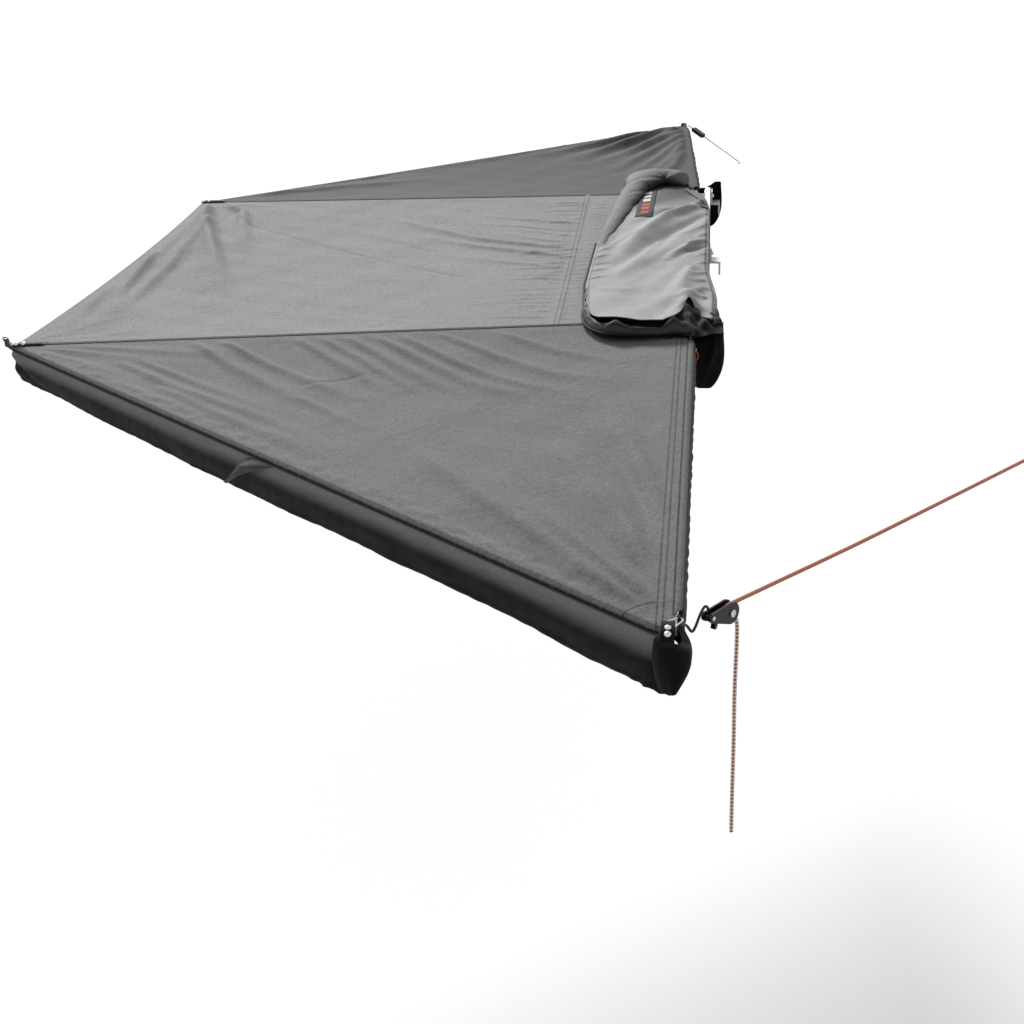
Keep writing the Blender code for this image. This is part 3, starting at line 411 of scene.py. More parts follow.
def over_arm(number, reach, aside=0.0):
    """The canopy's top surface above an arm, at a distance from its hub and to its left."""
    turn = math.radians(HEADING[number])
    hub = front_hub if number < 3 else rear_hub
    tip_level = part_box(f"arm_{number}_tube")[1][2] + CLOTH_LIFT
    share = reach / ARM_REACH
    return np.array((hub.x + reach * math.cos(turn) - aside * math.sin(turn),
                     hub.y + reach * math.sin(turn) + aside * math.cos(turn),
                     HUB_LEVEL + (tip_level - HUB_LEVEL) * share))


studs = {number: over_arm(number, ARM_REACH) for number in HEADING}
for number, place in studs.items():
    print("stud", number, [round(float(v), 3) for v in place])

# %% [markdown]
# A fold in stretched cloth is a long soft ridge. It starts quickly where something pulls the cloth, such
# as a stud or a seam, and dies away slowly. So each fold is a line of points, and the height falls off
# with the distance from the line, and along it.

# %% Folds and ripples
def folds(x, y, lines):
    """The height of folds. A line has its points, its half width and its height, all in metres."""
    total = np.zeros_like(x)
    for points, width, height in lines:
        legs = [(a, b, math.dist(a, b)) for a, b in zip(points, points[1:])]
        length = sum(leg for _, _, leg in legs)
        nearest, share, done = np.full_like(x, 9.0), np.zeros_like(x), 0.0
        for (ax, ay), (bx, by), leg in legs:
            t = np.clip(((x - ax) * (bx - ax) + (y - ay) * (by - ay)) / leg ** 2, 0, 1)
            gap = np.hypot(x - ax - t * (bx - ax), y - ay - t * (by - ay))
            share = np.where(gap < nearest, (done + t * leg) / length, share)
            nearest = np.minimum(nearest, gap)
            done += leg
        fade = 1.75 * share ** 0.4 * (1 - share) ** 0.9
        total += height * fade * np.exp(-(nearest / (width * (0.6 + 0.8 * share))) ** 2)
    return total


def ripple(x, y, size, seed):
    """Slow, uneven waves between -1 and 1, about one size apart."""
    a, b = 2 * math.pi * x / size, 2 * math.pi * y / size
    waves = (np.sin(a + 0.6 * b + seed) + np.sin(0.7 * b - 0.4 * a + 2.1 * seed + 1.3)
             + np.sin(1.37 * a - 0.8 * b + 3.3 * seed + 0.4) + np.sin(1.7 * b + 0.9 * a + 1.9 * seed + 2.6))
    return waves / 4


def ease(value, low, high):
    """0 below low, 1 above high, and smooth between them."""
    t = np.clip((value - low) / (high - low), 0, 1)
    return t * t * (3 - 2 * t)

# %% A grid moved in code
def cloth_grid(name, across, along, shape, look, marks):
    """A grid whose points shape(u, v) moves. It also returns a value per point for each of the marks."""
    bpy.ops.object.select_all(action="DESELECT")
    bpy.ops.mesh.primitive_grid_add(x_subdivisions=across, y_subdivisions=along, size=1)
    made = bpy.context.object
    made.name = made.data.name = name
    flat = np.zeros(3 * len(made.data.vertices))
    made.data.vertices.foreach_get("co", flat)
    flat = flat.reshape(-1, 3) + 0.5
    points, found = shape(np.clip(flat[:, 0], 0, 1), np.clip(flat[:, 1], 0, 1))
    made.data.vertices.foreach_set("co", np.stack(points, axis=1).reshape(-1))
    for mark in marks:
        attribute = made.data.attributes.new(mark, "FLOAT", "POINT")
        attribute.data.foreach_set("value", np.asarray(found[mark], dtype=np.float32))
    made.data.update()
    made.data.shade_smooth()
    made.data.materials.append(look)
    return made


def give_thickness(made, thickness, away=(0, 0, 1)):
    """Turns the faces the given way, and thickens the cloth on its other side."""
    made.data.update()
    middle = len(made.data.polygons) // 2
    if made.data.polygons[middle].normal.dot(Vector(away)) < 0:
        made.data.flip_normals()
    wall = made.modifiers.new("cloth", "SOLIDIFY")
    wall.thickness = thickness
    wall.offset = -1
    bpy.context.view_layer.objects.active = made
    bpy.ops.object.modifier_apply(modifier=wall.name)
    print(made.name, len(made.data.polygons), "faces")

# %% [markdown]
# The cloth is polyester-cotton canvas with a coating: matt, with a faint grain from its threads, and a
# little uneven in tone where the coating is thicker. The threads are 0.5 mm apart on the real cloth, too
# fine for the picture, so the weave is drawn at 2.4 mm, with slubs of 9 mm. Seams and hems are narrow dark
# lines. They are drawn at a distance from an edge, which the grid carries for each point, so they stay
# sharp however coarse the grid is.

# %% Canvas
# a wave texture of scale 1 repeats every 0.314 m
ONE_WAVE = 0.314
WEAVE = 0.0024


def seam_line(tree, mark, at, half_width):
    """1 on a line at a distance from the edge that the mark measures, and 0 beside it."""
    value = add(tree, "Attribute", {"attribute_name": mark})
    away = maths(tree, "ABSOLUTE", maths(tree, "SUBTRACT", value.outputs["Fac"], at))
    return spread(tree, away, 0.6 * half_width, 1.5 * half_width, 1, 0)


def darkened(tree, tone, lines):
    """A tone, darkened on lines. Each is a mark, its distance, its half width and its depth."""
    for mark, at, half_width, depth in lines:
        line = maths(tree, "MULTIPLY_ADD", seam_line(tree, mark, at, half_width), -depth, 1.0)
        tone = maths(tree, "MULTIPLY", tone, line)
    return tone


def grain(tree, slub_size):
    """Object coordinates, and the heights of the threads that cross and of their slubs."""
    place = add(tree, "TexCoord").outputs["Object"]
    threads = [add(tree, "TexWave", {"bands_direction": way, "wave_profile": "SIN"},
                   {"Vector": place, "Scale": ONE_WAVE / WEAVE, "Distortion": 0.6,
                    "Detail": 1.0, "Detail Scale": 2.0}).outputs["Fac"] for way in ("X", "Y")]
    slubs = add(tree, "TexNoise", None, {"Vector": place, "Scale": 1 / slub_size, "Detail": 3.0,
                                         "Roughness": 0.65})
    return place, maths(tree, "ADD", *threads), slubs.outputs["Fac"]


def canvas(name, tint, lines):
    """Coated canvas. Each line is a mark, its distance, its half width and its depth of tone."""
    look, tree, shader = start_material(name, 0.82)
    shader.inputs["Specular IOR Level"].default_value = 0.10
    shader.inputs["Sheen Weight"].default_value = 0.03
    shader.inputs["Sheen Roughness"].default_value = 0.45
    place, weave, slubs = grain(tree, 0.009)
    crumple = add(tree, "TexNoise", None, {"Vector": place, "Scale": 19.0, "Detail": 6.0, "Roughness": 0.62})
    clouds = add(tree, "TexNoise", None, {"Vector": place, "Scale": 2.6, "Detail": 3.0})
    # seams and hems as dark lines, and on some panels painted shade
    dark_lines = 0.0
    for mark, at, half_width, depth in lines:
        line = maths(tree, "MULTIPLY", seam_line(tree, mark, at, half_width), depth)
        dark_lines = maths(tree, "MAXIMUM", dark_lines, line)
    tone = maths(tree, "MULTIPLY", spread(tree, slubs, 0.25, 0.75, 0.68, 1.32),
                 spread(tree, clouds.outputs["Fac"], 0.3, 0.7, 0.95, 1.05))
    tone = maths(tree, "MAXIMUM", maths(tree, "SUBTRACT", tone, dark_lines), 0.05)
    height = maths(tree, "MULTIPLY_ADD", slubs, 1.6, weave)
    height = maths(tree, "MULTIPLY_ADD", crumple.outputs["Fac"], 18.0, height)
    height = maths(tree, "MULTIPLY_ADD", dark_lines, -4.0, height)
    link_look(tree, shader, scaled(tree, colour(tint)[:3], tone), height, 0.45, 0.0004)
    return look


# The three panels are one cloth, so their three tints are painted light and shade: the middle panel is painted
# lightest, the front one darkest. The dark line on the middle panel's packing crease is painted shade.
middle_canvas = canvas("coated_canvas_middle", "#858587", [
    ("from_outer", 0.0, 0.0034, 0.9), ("from_outer", 0.012, 0.0012, 0.3), ("from_tape", 0.007, 0.0022, 0.45),
    ("from_tape", -0.007, 0.0022, 0.45), ("from_crease", 0.0, 0.0022, 0.35)])
rear_canvas = canvas("coated_canvas_rear", "#6d6a6a", [
    ("from_outer", 0.0, 0.0042, 0.95), ("from_outer", 0.013, 0.0013, 0.35),
    ("from_side", -0.010, 0.0018, 0.6), ("from_side", -0.022, 0.0018, 0.55), ("from_side", 0.008, 0.0020, 0.8),
    ("from_join", 0.0, 0.0016, 0.3), ("from_stud", 0.105, 0.0016, 0.7)])
# the front's wide line is painted shade along its outer edge, where the cloth turns down
front_canvas = canvas("coated_canvas_front", "#3f4044", [
    ("from_outer", 0.0, 0.0030, 0.8), ("from_outer", 0.018, 0.022, 0.70), ("from_side", 0.020, 0.0030, 0.5)])
print("canvas in three tones")

# %% [markdown]
# ### The middle panel
#
# It runs from the rail to the outer edge. A sewn tape crosses it half a metre out from the vehicle, and
# the cloth is gathered into it, so many short ridges end there. Broad folds fan out from the stud at its
# far outer corner, and long thin ones cross the middle, each traced from the photograph. A sharp
# crease from how it was packed crosses them. The outer edge is cut hollow by 30 mm, so that it stays tight
# between the two studs.

# %% Where the cloth turns down
ROLL = 0.017
ROLL_TURN = math.radians(74)
SIDE_FLAT = 0.013
SIDE_ROLL = 0.012
SAG = 0.016
# the canopy's inner edge is held under the clamp strip
INNER_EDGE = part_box("canopy_middle_panel")[1][0] - 0.0005
# from stud, to stud, how far the edge is cut hollow, and the degrees that its ends turn to meet the next
EDGES = {"rear": (3, 4, 0.0, -22.5, 67.5), "side": (3, 2, 0.030, 22.5, -21.9),
         "front": (2, 1, 0.020, 21.9, -66.0)}


def outer_line(edge, t):
    """Points on the line of studs at a canopy edge, and the angle of the way outward there."""
    first, last, hollow, lean_first, lean_last = EDGES[edge]
    way = studs[last] - studs[first]
    outward = math.atan2(way[1], way[0]) + (math.pi / 2 if edge != "rear" else -math.pi / 2)
    turn = (outward + math.radians(lean_first) * (1 - ease(t, 0, 0.016))
            + math.radians(lean_last) * ease(t, 0.984, 1))
    bow = hollow * 4 * t * (1 - t)
    return (studs[first][0] + way[0] * t - bow * math.cos(outward),
            studs[first][1] + way[1] * t - bow * math.sin(outward), studs[first][2] + way[2] * t, turn)


def turned_down(x, y, z, turn, over, radius=ROLL):
    """Points after over, from 0 to 1, of the roll at an edge."""
    out, down = radius * np.sin(ROLL_TURN * over), radius * (1 - np.cos(ROLL_TURN * over))
    return x + out * np.cos(turn), y + out * np.sin(turn), z - down

# %% Middle panel
# each fold has the points of its line in plan, its half width and its height
corner_fan = [([(-2.04, 0.93), (-2.03, 0.10), (-2.03, -0.72)], 0.050, 0.0180),
              ([(-2.04, 0.93), (-1.92, 0.46), (-1.83, 0.16), (-1.68, -0.43)], 0.044, 0.0350),
              ([(-1.95, 0.60), (-1.86, 0.32), (-1.74, -0.03), (-1.58, -0.50)], 0.028, 0.0250),
              ([(-1.96, 0.95), (-1.86, 0.80), (-1.79, 0.52), (-1.69, 0.14)], 0.026, 0.0260),
              ([(-2.01, 0.86), (-1.95, 0.41), (-1.90, -0.06), (-1.89, -0.58), (-1.87, -0.82)], 0.021, 0.0280),
              ([(-2.01, 0.14), (-1.96, -0.37), (-1.92, -0.59), (-1.90, -0.82)], 0.018, 0.0220),
              ([(-2.03, -0.30), (-2.00, -0.70), (-2.01, -0.86)], 0.018, 0.0120),
              ([(-1.94, 0.64), (-1.91, 0.24), (-1.86, -0.08)], 0.018, 0.0200)]


def tip_fan(number, turns, length, width, height):
    """Creases that run out from an arm's stud, at turns in degrees from the way toward the vehicle."""
    x, y = studs[number][0], studs[number][1]
    lines = []
    for k, turn in enumerate(turns):
        a = math.radians(turn)
        reaches = (0.07, 0.40 * length, length * (0.8 + 0.2 * math.sin(3 * k)))
        line = [(x + r * math.cos(a), y + r * math.sin(a)) for r in reaches]
        lines.append((line, width, height if k % 2 else -0.7 * height))
    return lines


long_ridges = [([(-0.49, 0.02), (-0.68, 0.15), (-0.86, 0.27), (-1.09, 0.51), (-1.36, 0.80)], 0.020, 0.0125),
               ([(-0.49, -0.10), (-0.61, -0.02), (-0.72, 0.06), (-0.88, 0.18), (-1.08, 0.36)], 0.018, 0.0120),
               ([(-0.51, 0.47), (-0.63, 0.53), (-0.75, 0.60), (-0.95, 0.72)], 0.014, 0.0075),
               ([(-0.51, 0.24), (-0.61, 0.33), (-0.72, 0.41)], 0.010, 0.0050),
               ([(-0.51, 0.14), (-0.62, 0.21), (-0.78, 0.37)], 0.013, 0.0065),
               ([(-0.49, -0.28), (-0.60, -0.19), (-0.74, -0.10), (-0.94, 0.03)], 0.018, 0.0060),
               ([(-0.98, 0.10), (-1.10, 0.24), (-1.30, 0.45)], 0.020, 0.0050),
               ([(-0.51, 0.33), (-0.69, 0.45), (-0.92, 0.56)], 0.013, 0.0055),
               ([(-0.52, -0.66), (-0.60, -0.67), (-0.72, -0.70)], 0.009, 0.0040),
               ([(-0.49, -0.44), (-0.54, -0.41), (-0.62, -0.36)], 0.010, 0.0040)]


def gathers(start, step, count, at, lengths, rise, height):
    """Short ridges side by side, as where cloth is gathered into a seam."""
    found = []
    for k in range(count):
        y = start + step * k + 0.3 * step * math.sin(7.3 * k)
        length = lengths[0] + (lengths[1] - lengths[0]) * (0.5 + 0.5 * math.sin(4.1 * k + 1))
        found.append(([(at, y), (at - length, y + rise * length)], 0.009 + 0.003 * math.sin(2.7 * k),
                      height * (0.75 + 0.25 * math.sin(5.9 * k))))
    return found


tip_folds = tip_fan(3, (9, 20, 34, 52), 0.5, 0.016, 0.0022)
tip_folds += tip_fan(2, (-8, -18, -30, -44), 0.5, 0.018, 0.0030)
outside_tape = gathers(-0.92, 0.062, 30, -0.505, (0.05, 0.22), 0.2, 0.0055)
inside_tape = gathers(-0.95, 0.055, 34, -0.425, (0.055, 0.07), 0.1, 0.0042)
middle_folds = corner_fan + long_ridges + tip_folds + outside_tape
# the tape's line, which isn't quite parallel to the rail
TAPE_X = -0.495
TAPE_LEAN = 0.0245
# the packing crease: where it starts, the way that it runs, and its length
CREASE_X, CREASE_Y = -1.80, 0.61
CREASE_WAY = (0.72, -0.694)
CREASE_LENGTH = 1.32


def middle_shape(u, v):
    """The middle panel: u runs outward from the rail and down over the roll, v from arm 3 to arm 2."""
    share = np.interp(u, (0, 0.03, 0.975, 1), (0, 1, 2, 3))
    reach, over = np.clip(share - 1, 0, 1), np.clip(share - 2, 0, 1)
    edge_x, edge_y, edge_z, turn = outer_line("side", v)
    start_y = rear_hub.y + SEAM_GAP + (front_hub.y - rear_hub.y - 2 * SEAM_GAP) * v
    edge_y = np.clip(edge_y, rear_hub.y + SEAM_GAP, front_hub.y - SEAM_GAP)
    x = np.where(share < 1, INNER_EDGE + (rear_hub.x - INNER_EDGE) * share,
                 rear_hub.x + (edge_x - rear_hub.x) * reach)
    y = start_y + (edge_y - start_y) * reach
    z = HUB_LEVEL + (edge_z - HUB_LEVEL) * reach
    z = z - SAG * np.sin(math.pi * v) ** 0.8 * ease(reach, 0.06, 0.3) * np.sin(math.pi * reach ** 1.3)

    # nothing folds where a seam holds the cloth, or where the bag lies on it
    sides = np.minimum(y - rear_hub.y, front_hub.y - y)
    held = ease(sides, 0.012, 0.09) * ease(x - edge_x, 0.004, 0.06)
    bare = 1 - ease(x, -0.46, -0.40)
    z = z + held * bare * folds(x, y, middle_folds) + held * folds(x, y, inside_tape)
    z = z + 0.0026 * held * bare * ripple(x, y, 0.33, 0.7) * ease(reach, 0.2, 0.5)

    from_tape = x - TAPE_X + TAPE_LEAN * y
    z = z + 0.0016 * (1 - ease(np.abs(from_tape), 0.007, 0.012)) * bare
    ahead = (x - CREASE_X) * CREASE_WAY[0] + (y - CREASE_Y) * CREASE_WAY[1]
    crease = (y - CREASE_Y) * CREASE_WAY[0] - (x - CREASE_X) * CREASE_WAY[1]
    crease = np.where((ahead > 0) & (ahead < CREASE_LENGTH), crease, 1.0)
    z = z - 0.0026 * np.exp(-(crease / 0.010) ** 2) * held

    from_outer = np.where(over > 0, (1 - over) * ROLL * ROLL_TURN, x - edge_x + ROLL * ROLL_TURN)
    x, y, z = turned_down(x, y, z, turn, over)
    return (x, y, z), {"from_outer": from_outer, "from_tape": from_tape, "from_crease": crease}


middle_panel = cloth_grid("canopy_middle", 190, 250, middle_shape, middle_canvas,
                          ("from_outer", "from_tape", "from_crease"))
give_thickness(middle_panel, CLOTH)

# %% [markdown]
# ### The two end panels
#
# Each end panel is a fan between two arms, so its grid is a fan too: one direction runs out from the hub,
# the other turns from arm to arm. The rear panel is the one nearest the camera. Soft lobes hang from its
# seam over the outer arm, and tight folds run to the stud that the rope pulls. A join between two widths
# of cloth crosses it.

# %% Rear panel
rear_folds = [([(-1.53, -1.06), (-1.35, -1.30), (-1.19, -1.49), (-0.98, -1.72)], 0.024, 0.0135),
              ([(-1.44, -1.06), (-1.24, -1.30), (-1.07, -1.47), (-0.92, -1.62)], 0.020, 0.0125),
              ([(-1.22, -1.06), (-1.06, -1.28), (-0.94, -1.44), (-0.82, -1.58)], 0.020, 0.0130),
              ([(-1.15, -1.06), (-1.01, -1.24), (-0.85, -1.47), (-0.72, -1.62)], 0.018, 0.0115),
              ([(-1.07, -1.06), (-0.90, -1.30), (-0.76, -1.48), (-0.64, -1.60)], 0.022, 0.0150),
              ([(-0.99, -1.06), (-0.78, -1.34), (-0.66, -1.49), (-0.48, -1.64)], 0.022, 0.0150),
              ([(-0.92, -1.06), (-0.72, -1.32), (-0.56, -1.49), (-0.38, -1.61)], 0.020, 0.0145),
              ([(-0.80, -1.06), (-0.62, -1.27), (-0.46, -1.43), (-0.28, -1.54)], 0.022, 0.0120),
              ([(-0.64, -1.06), (-0.44, -1.26), (-0.31, -1.35), (-0.22, -1.40)], 0.022, 0.0085),
              ([(-1.84, -1.26), (-1.53, -1.54), (-1.36, -1.69), (-1.18, -1.82)], 0.022, 0.0085),
              ([(-1.70, -1.23), (-1.41, -1.53), (-1.12, -1.78), (-0.88, -2.06)], 0.024, 0.0125),
              ([(-1.52, -1.47), (-1.16, -1.83), (-0.86, -2.13)], 0.022, 0.0100),
              ([(-1.64, -1.22), (-1.29, -1.56), (-1.08, -1.77)], 0.020, 0.0095),
              ([(-1.10, -1.58), (-0.86, -1.85)], 0.018, 0.0070),
              ([(-1.12, -1.48), (-1.02, -1.44), (-0.90, -1.40)], 0.010, -0.0038),
              ([(-0.11, -2.94), (-0.23, -2.73), (-0.36, -2.50), (-0.56, -2.14)], 0.030, 0.0220),
              ([(-0.14, -2.94), (-0.35, -2.60), (-0.52, -2.34), (-0.80, -1.86)], 0.030, 0.0205),
              ([(-0.13, -2.92), (-0.23, -2.76), (-0.33, -2.60), (-0.44, -2.42)], 0.018, -0.0125),
              ([(-0.11, -2.88), (-0.20, -2.67), (-0.29, -2.47), (-0.37, -2.28)], 0.022, -0.0140),
              ([(-0.12, -2.80), (-0.20, -2.51), (-0.30, -2.24), (-0.40, -1.96)], 0.026, 0.0150),
              ([(-0.12, -2.62), (-0.19, -2.29), (-0.25, -2.08), (-0.33, -1.82)], 0.026, -0.0115),
              ([(-0.12, -2.46), (-0.17, -2.20), (-0.23, -1.95), (-0.30, -1.66)], 0.028, 0.0110),
              ([(-0.22, -2.96), (-0.46, -2.66), (-0.80, -2.28)], 0.036, 0.0130),
              ([(-0.19, -2.93), (-0.40, -2.66), (-0.66, -2.32)], 0.022, -0.0090),
              ([(-1.90, -1.06), (-1.60, -1.14), (-1.30, -1.20)], 0.026, 0.0060)]
rear_folds += tip_fan(3, (-5, -10, -16, -23, -31, -38), 0.75, 0.017, 0.0035)
rear_folds += tip_fan(4, (100, 108, 117, 127), 0.5, 0.018, 0.006)
# the join of two widths of cloth
JOIN_NEAR = (-0.09, -1.23)
JOIN_FAR = (-0.82, -1.93)
# the shares of the fan's grid that lie before its outer roll, and between its arms
ROLL_FROM = 0.98
SIDE_FROM = 0.965
# where the roll along the vehicle's side starts, and where it flattens out before the stud
SIDE_STARTS = (1.165, 1.20)
SIDE_STOPS = {"rear": (2.900, 2.950), "front": (2.920, 2.970)}


def fan_shape(u, v, hub, edge, first_arm, lines):
    """A fan between two arms, turned down at its outer edge, and beyond the last arm on its side."""
    side = -1 if hub.y < 0 else 1
    turn_share = np.clip(v / SIDE_FROM, 0, 1)
    beside = np.clip((v - SIDE_FROM) / (1 - SIDE_FROM), 0, 1)
    reach, over = np.clip(u / ROLL_FROM, 0, 1), np.clip((u - ROLL_FROM) / (1 - ROLL_FROM), 0, 1)
    t = turn_share if first_arm == EDGES[edge][0] else 1 - turn_share
    edge_x, edge_y, edge_z, turn = outer_line(edge, t)
    x = hub.x + (edge_x - hub.x) * reach
    y = hub.y + side * SEAM_GAP + (edge_y - hub.y - side * SEAM_GAP) * reach
    z = HUB_LEVEL + (edge_z - HUB_LEVEL) * reach

    middle = outer_line(edge, np.array([0.5]))
    across = -((x - middle[0]) * np.cos(middle[3]) + (y - middle[1]) * np.sin(middle[3]))
    off_arm = ease(np.abs(y - hub.y), 0.012, 0.09)
    inside = off_arm * ease(hub.x - x, 0.012, 0.09) * ease(across, 0.004, 0.05)
    z = z - SAG * inside * np.sin(math.pi * turn_share) * np.sin(math.pi * reach ** 1.4)
    z = z + inside * folds(x, y, lines) + 0.0026 * inside * ripple(x, y, 0.36, 1.9)
    # the outer seam puckers the cloth beside it
    pucker = np.exp(-(across - 0.014) ** 2 / 0.03 ** 2) * ease(across, 0.002, 0.012)
    z = z + 0.0030 * pucker * ripple(x, y, 0.085, 0.3) * off_arm
    x, y, z = turned_down(x, y, z, turn, over)

    # the narrow strip beyond the last arm: first flat, then rolled over the vehicle's side
    wide = ease(np.abs(y), *SIDE_STARTS)
    rolls = wide * (1 - ease(np.abs(y), *SIDE_STOPS[edge]))
    wide = wide - 0.3 * (wide - rolls)
    flat, round_over = np.clip(beside / 0.3, 0, 1), np.clip((beside - 0.3) / 0.7, 0, 1)
    from_side = SIDE_FLAT * wide * flat + SIDE_ROLL * ROLL_TURN * round_over
    x, y, z = turned_down(x + SIDE_FLAT * wide * flat, y, z, 0.0, round_over * rolls, SIDE_ROLL)
    puckers = ripple(y + 1.2 * from_side, from_side, 0.055, 0.9) * ease(np.abs(y), 1.2, 1.3)
    z = z + 0.0012 * puckers * ease(round_over, 0, 0.5) * wide
    from_outer = np.where(over > 0, (1 - over) * ROLL * ROLL_TURN, across + ROLL * ROLL_TURN)
    return x, y, z, from_outer, np.where(beside > 0, from_side, x - hub.x)


def rear_shape(u, v):
    """The rear panel, with its marks for the seams, the join and the patch round the stud."""
    x, y, z, from_outer, from_side = fan_shape(u, v, rear_hub, "rear", 3, rear_folds)
    way = np.array(JOIN_FAR) - np.array(JOIN_NEAR)
    way = way / np.hypot(*way)
    join = (x - JOIN_NEAR[0]) * way[1] - (y - JOIN_NEAR[1]) * way[0]
    from_stud = np.hypot(x - studs[4][0], y - studs[4][1])
    return (x, y, z), {"from_outer": from_outer, "from_side": from_side, "from_join": join,
                       "from_stud": from_stud}


rear_panel = cloth_grid("canopy_rear", 190, 200, rear_shape, rear_canvas,
                        ("from_outer", "from_side", "from_join", "from_stud"))
give_thickness(rear_panel, CLOTH)

# %% Front panel
front_folds = [([(-0.20, 2.90), (-0.40, 2.46), (-0.70, 1.98)], 0.040, 0.03192),
               ([(-0.18, 2.80), (-0.32, 2.36), (-0.56, 1.84)], 0.036, 0.02926),
               ([(-0.17, 2.66), (-0.28, 2.22), (-0.46, 1.66)], 0.034, 0.02926),
               ([(-0.16, 2.50), (-0.24, 2.06), (-0.38, 1.50)], 0.032, 0.0266),
               ([(-0.16, 2.32), (-0.21, 1.90), (-0.30, 1.40)], 0.030, 0.02394),
               ([(-0.15, 2.12), (-0.19, 1.72), (-0.27, 1.28)], 0.028, 0.02128),
               ([(-0.26, 2.88), (-0.56, 2.42), (-0.98, 1.98)], 0.040, 0.01638),
               ([(-0.36, 2.76), (-0.86, 2.22), (-1.40, 1.70)], 0.034, 0.01456),
               ([(-1.96, 1.12), (-1.60, 1.32), (-1.20, 1.56)], 0.034, 0.01274),
               ([(-1.98, 1.16), (-1.70, 1.40), (-1.30, 1.72)], 0.030, -0.01092)]
front_folds += tip_fan(1, (231, 236, 241, 246, 251, 256, 261), 1.3, 0.024, 0.011)


def front_shape(u, v):
    """The front panel. Its side seam is marked along the last arm, which leans."""
    x, y, z, from_outer, from_side = fan_shape(u, v, front_hub, "front", 2, front_folds)
    lean = math.radians(HEADING[1] - 90)
    beside = (x - front_hub.x) * math.cos(lean) + (y - front_hub.y) * math.sin(lean)
    from_side = np.where(v > SIDE_FROM, from_side, beside)
    return (x, y, z), {"from_outer": from_outer, "from_side": from_side}


front_panel = cloth_grid("canopy_front", 150, 160, front_shape, front_canvas, ("from_outer", "from_side"))
give_thickness(front_panel, CLOTH)

# %% [markdown]
# ### Where the canopy is held
#
# The middle panel hangs between arms that fold in opposite ways, so it is attached to the rail instead.

# %% Where the canopy is held
def fold_like_fan(piece):
    """Puts a piece's place into its mesh, and reads its points."""
    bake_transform(piece)
    points = np.zeros(3 * len(piece.data.vertices))
    piece.data.vertices.foreach_get("co", points)
    points = points.reshape(-1, 3)


fold_like_fan(rear_panel)
fold_like_fan(front_panel)
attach(middle_panel, "rail_and_bag")
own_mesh(middle_panel)
for piece, node in ((middle_panel, "canopy_middle_panel"), (rear_panel, "canopy_rear_panel"),
                    (front_panel, "canopy_front_panel")):
    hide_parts(node)

# %% [markdown]
# ## What hangs from the edges
#
# A valance is sewn under each turned-down outer edge. It bulges out where the roll pushes it, and falls
# in again toward its hem. It is black on the real awning. Its upper part is painted paler, a painted
# highlight where it faces the sky: a mark runs down the cloth from 0 to 1, and the colour follows it.

# %% Black cloth
def black_cloth(name, upper, lower, lines):
    """Black canvas, painted paler on its upper part as a painted highlight where it faces up."""
    look, tree, shader = start_material(name, 0.78)
    shader.inputs["Specular IOR Level"].default_value = 0.10
    shader.inputs["Sheen Weight"].default_value = 0.04
    weave, slubs = grain(tree, 0.005)[1:]
    down = add(tree, "Attribute", {"attribute_name": "down"})
    fade = add(tree, "MapRange", {"interpolation_type": "SMOOTHSTEP"},
               {"Value": down.outputs["Fac"], "From Min": 0.0, "From Max": 0.47})
    # the upper colour is a painted highlight, which fades into the lower one down the cloth
    tint = mixed(tree, fade.outputs[0], colour(upper), colour(lower))
    tone = darkened(tree, spread(tree, slubs, 0.25, 0.75, 0.8, 1.2), lines)
    height = maths(tree, "MULTIPLY_ADD", slubs, 1.6, weave)
    link_look(tree, shader, scaled(tree, tint, tone), height, 0.35, 0.0004)
    return look


# the valance's and the flap's upper colours are painted highlights; their lower colours are the black cloth
valance_black = black_cloth("valance_black_canvas", "#7e7d7e", "#080808",
                            [("below_seam", 0.0, 0.004, 0.8), ("down", 0.90, 0.010, 0.5)])
flap_black = black_cloth("side_flap_black_canvas", "#3b3a3a", "#101010", [("below_seam", 0.0, 0.004, 0.8)])

# %% Valances
VALANCE = 0.002
# a valance's first part lies against the roll, between these degrees from its top
ON_ROLL = 0.12
ROLL_DEGREES = (52, 90)
# how far a valance's lower part draws back from its near corner, as a share of its edge
END_SHIFT = {"rear": 0.013, "side": 0.034, "front": 0.0}
# the depth below the studs, at shares of each edge
rear_depth = ((0, 0.11, 0.46, 0.76, 0.875, 0.92, 1), (0.098, 0.103, 0.118, 0.114, 0.118, 0.126, 0.130))
even_depth = ((0, 0.5, 1), (0.104, 0.112, 0.104))


def drop_profile(u, depth, bulge):
    """Outward and downward from the line of studs, for a valance that starts under the roll."""
    phi = np.radians(np.interp(u, (0, ON_ROLL), ROLL_DEGREES))
    radius = ROLL - 0.0030 + 0.0036 * ease(u, 0.05, ON_ROLL)
    w = np.clip((u - ON_ROLL) / (1 - ON_ROLL), 0, 1)
    belly = bulge * np.sin(math.pi * w ** 0.75)
    out = np.where(u < ON_ROLL, radius * np.sin(phi), ROLL + 0.0006 + belly - 0.005 * w)
    down = np.where(u < ON_ROLL, ROLL - radius * np.cos(phi), ROLL + (depth - ROLL) * w)
    return out, down, w


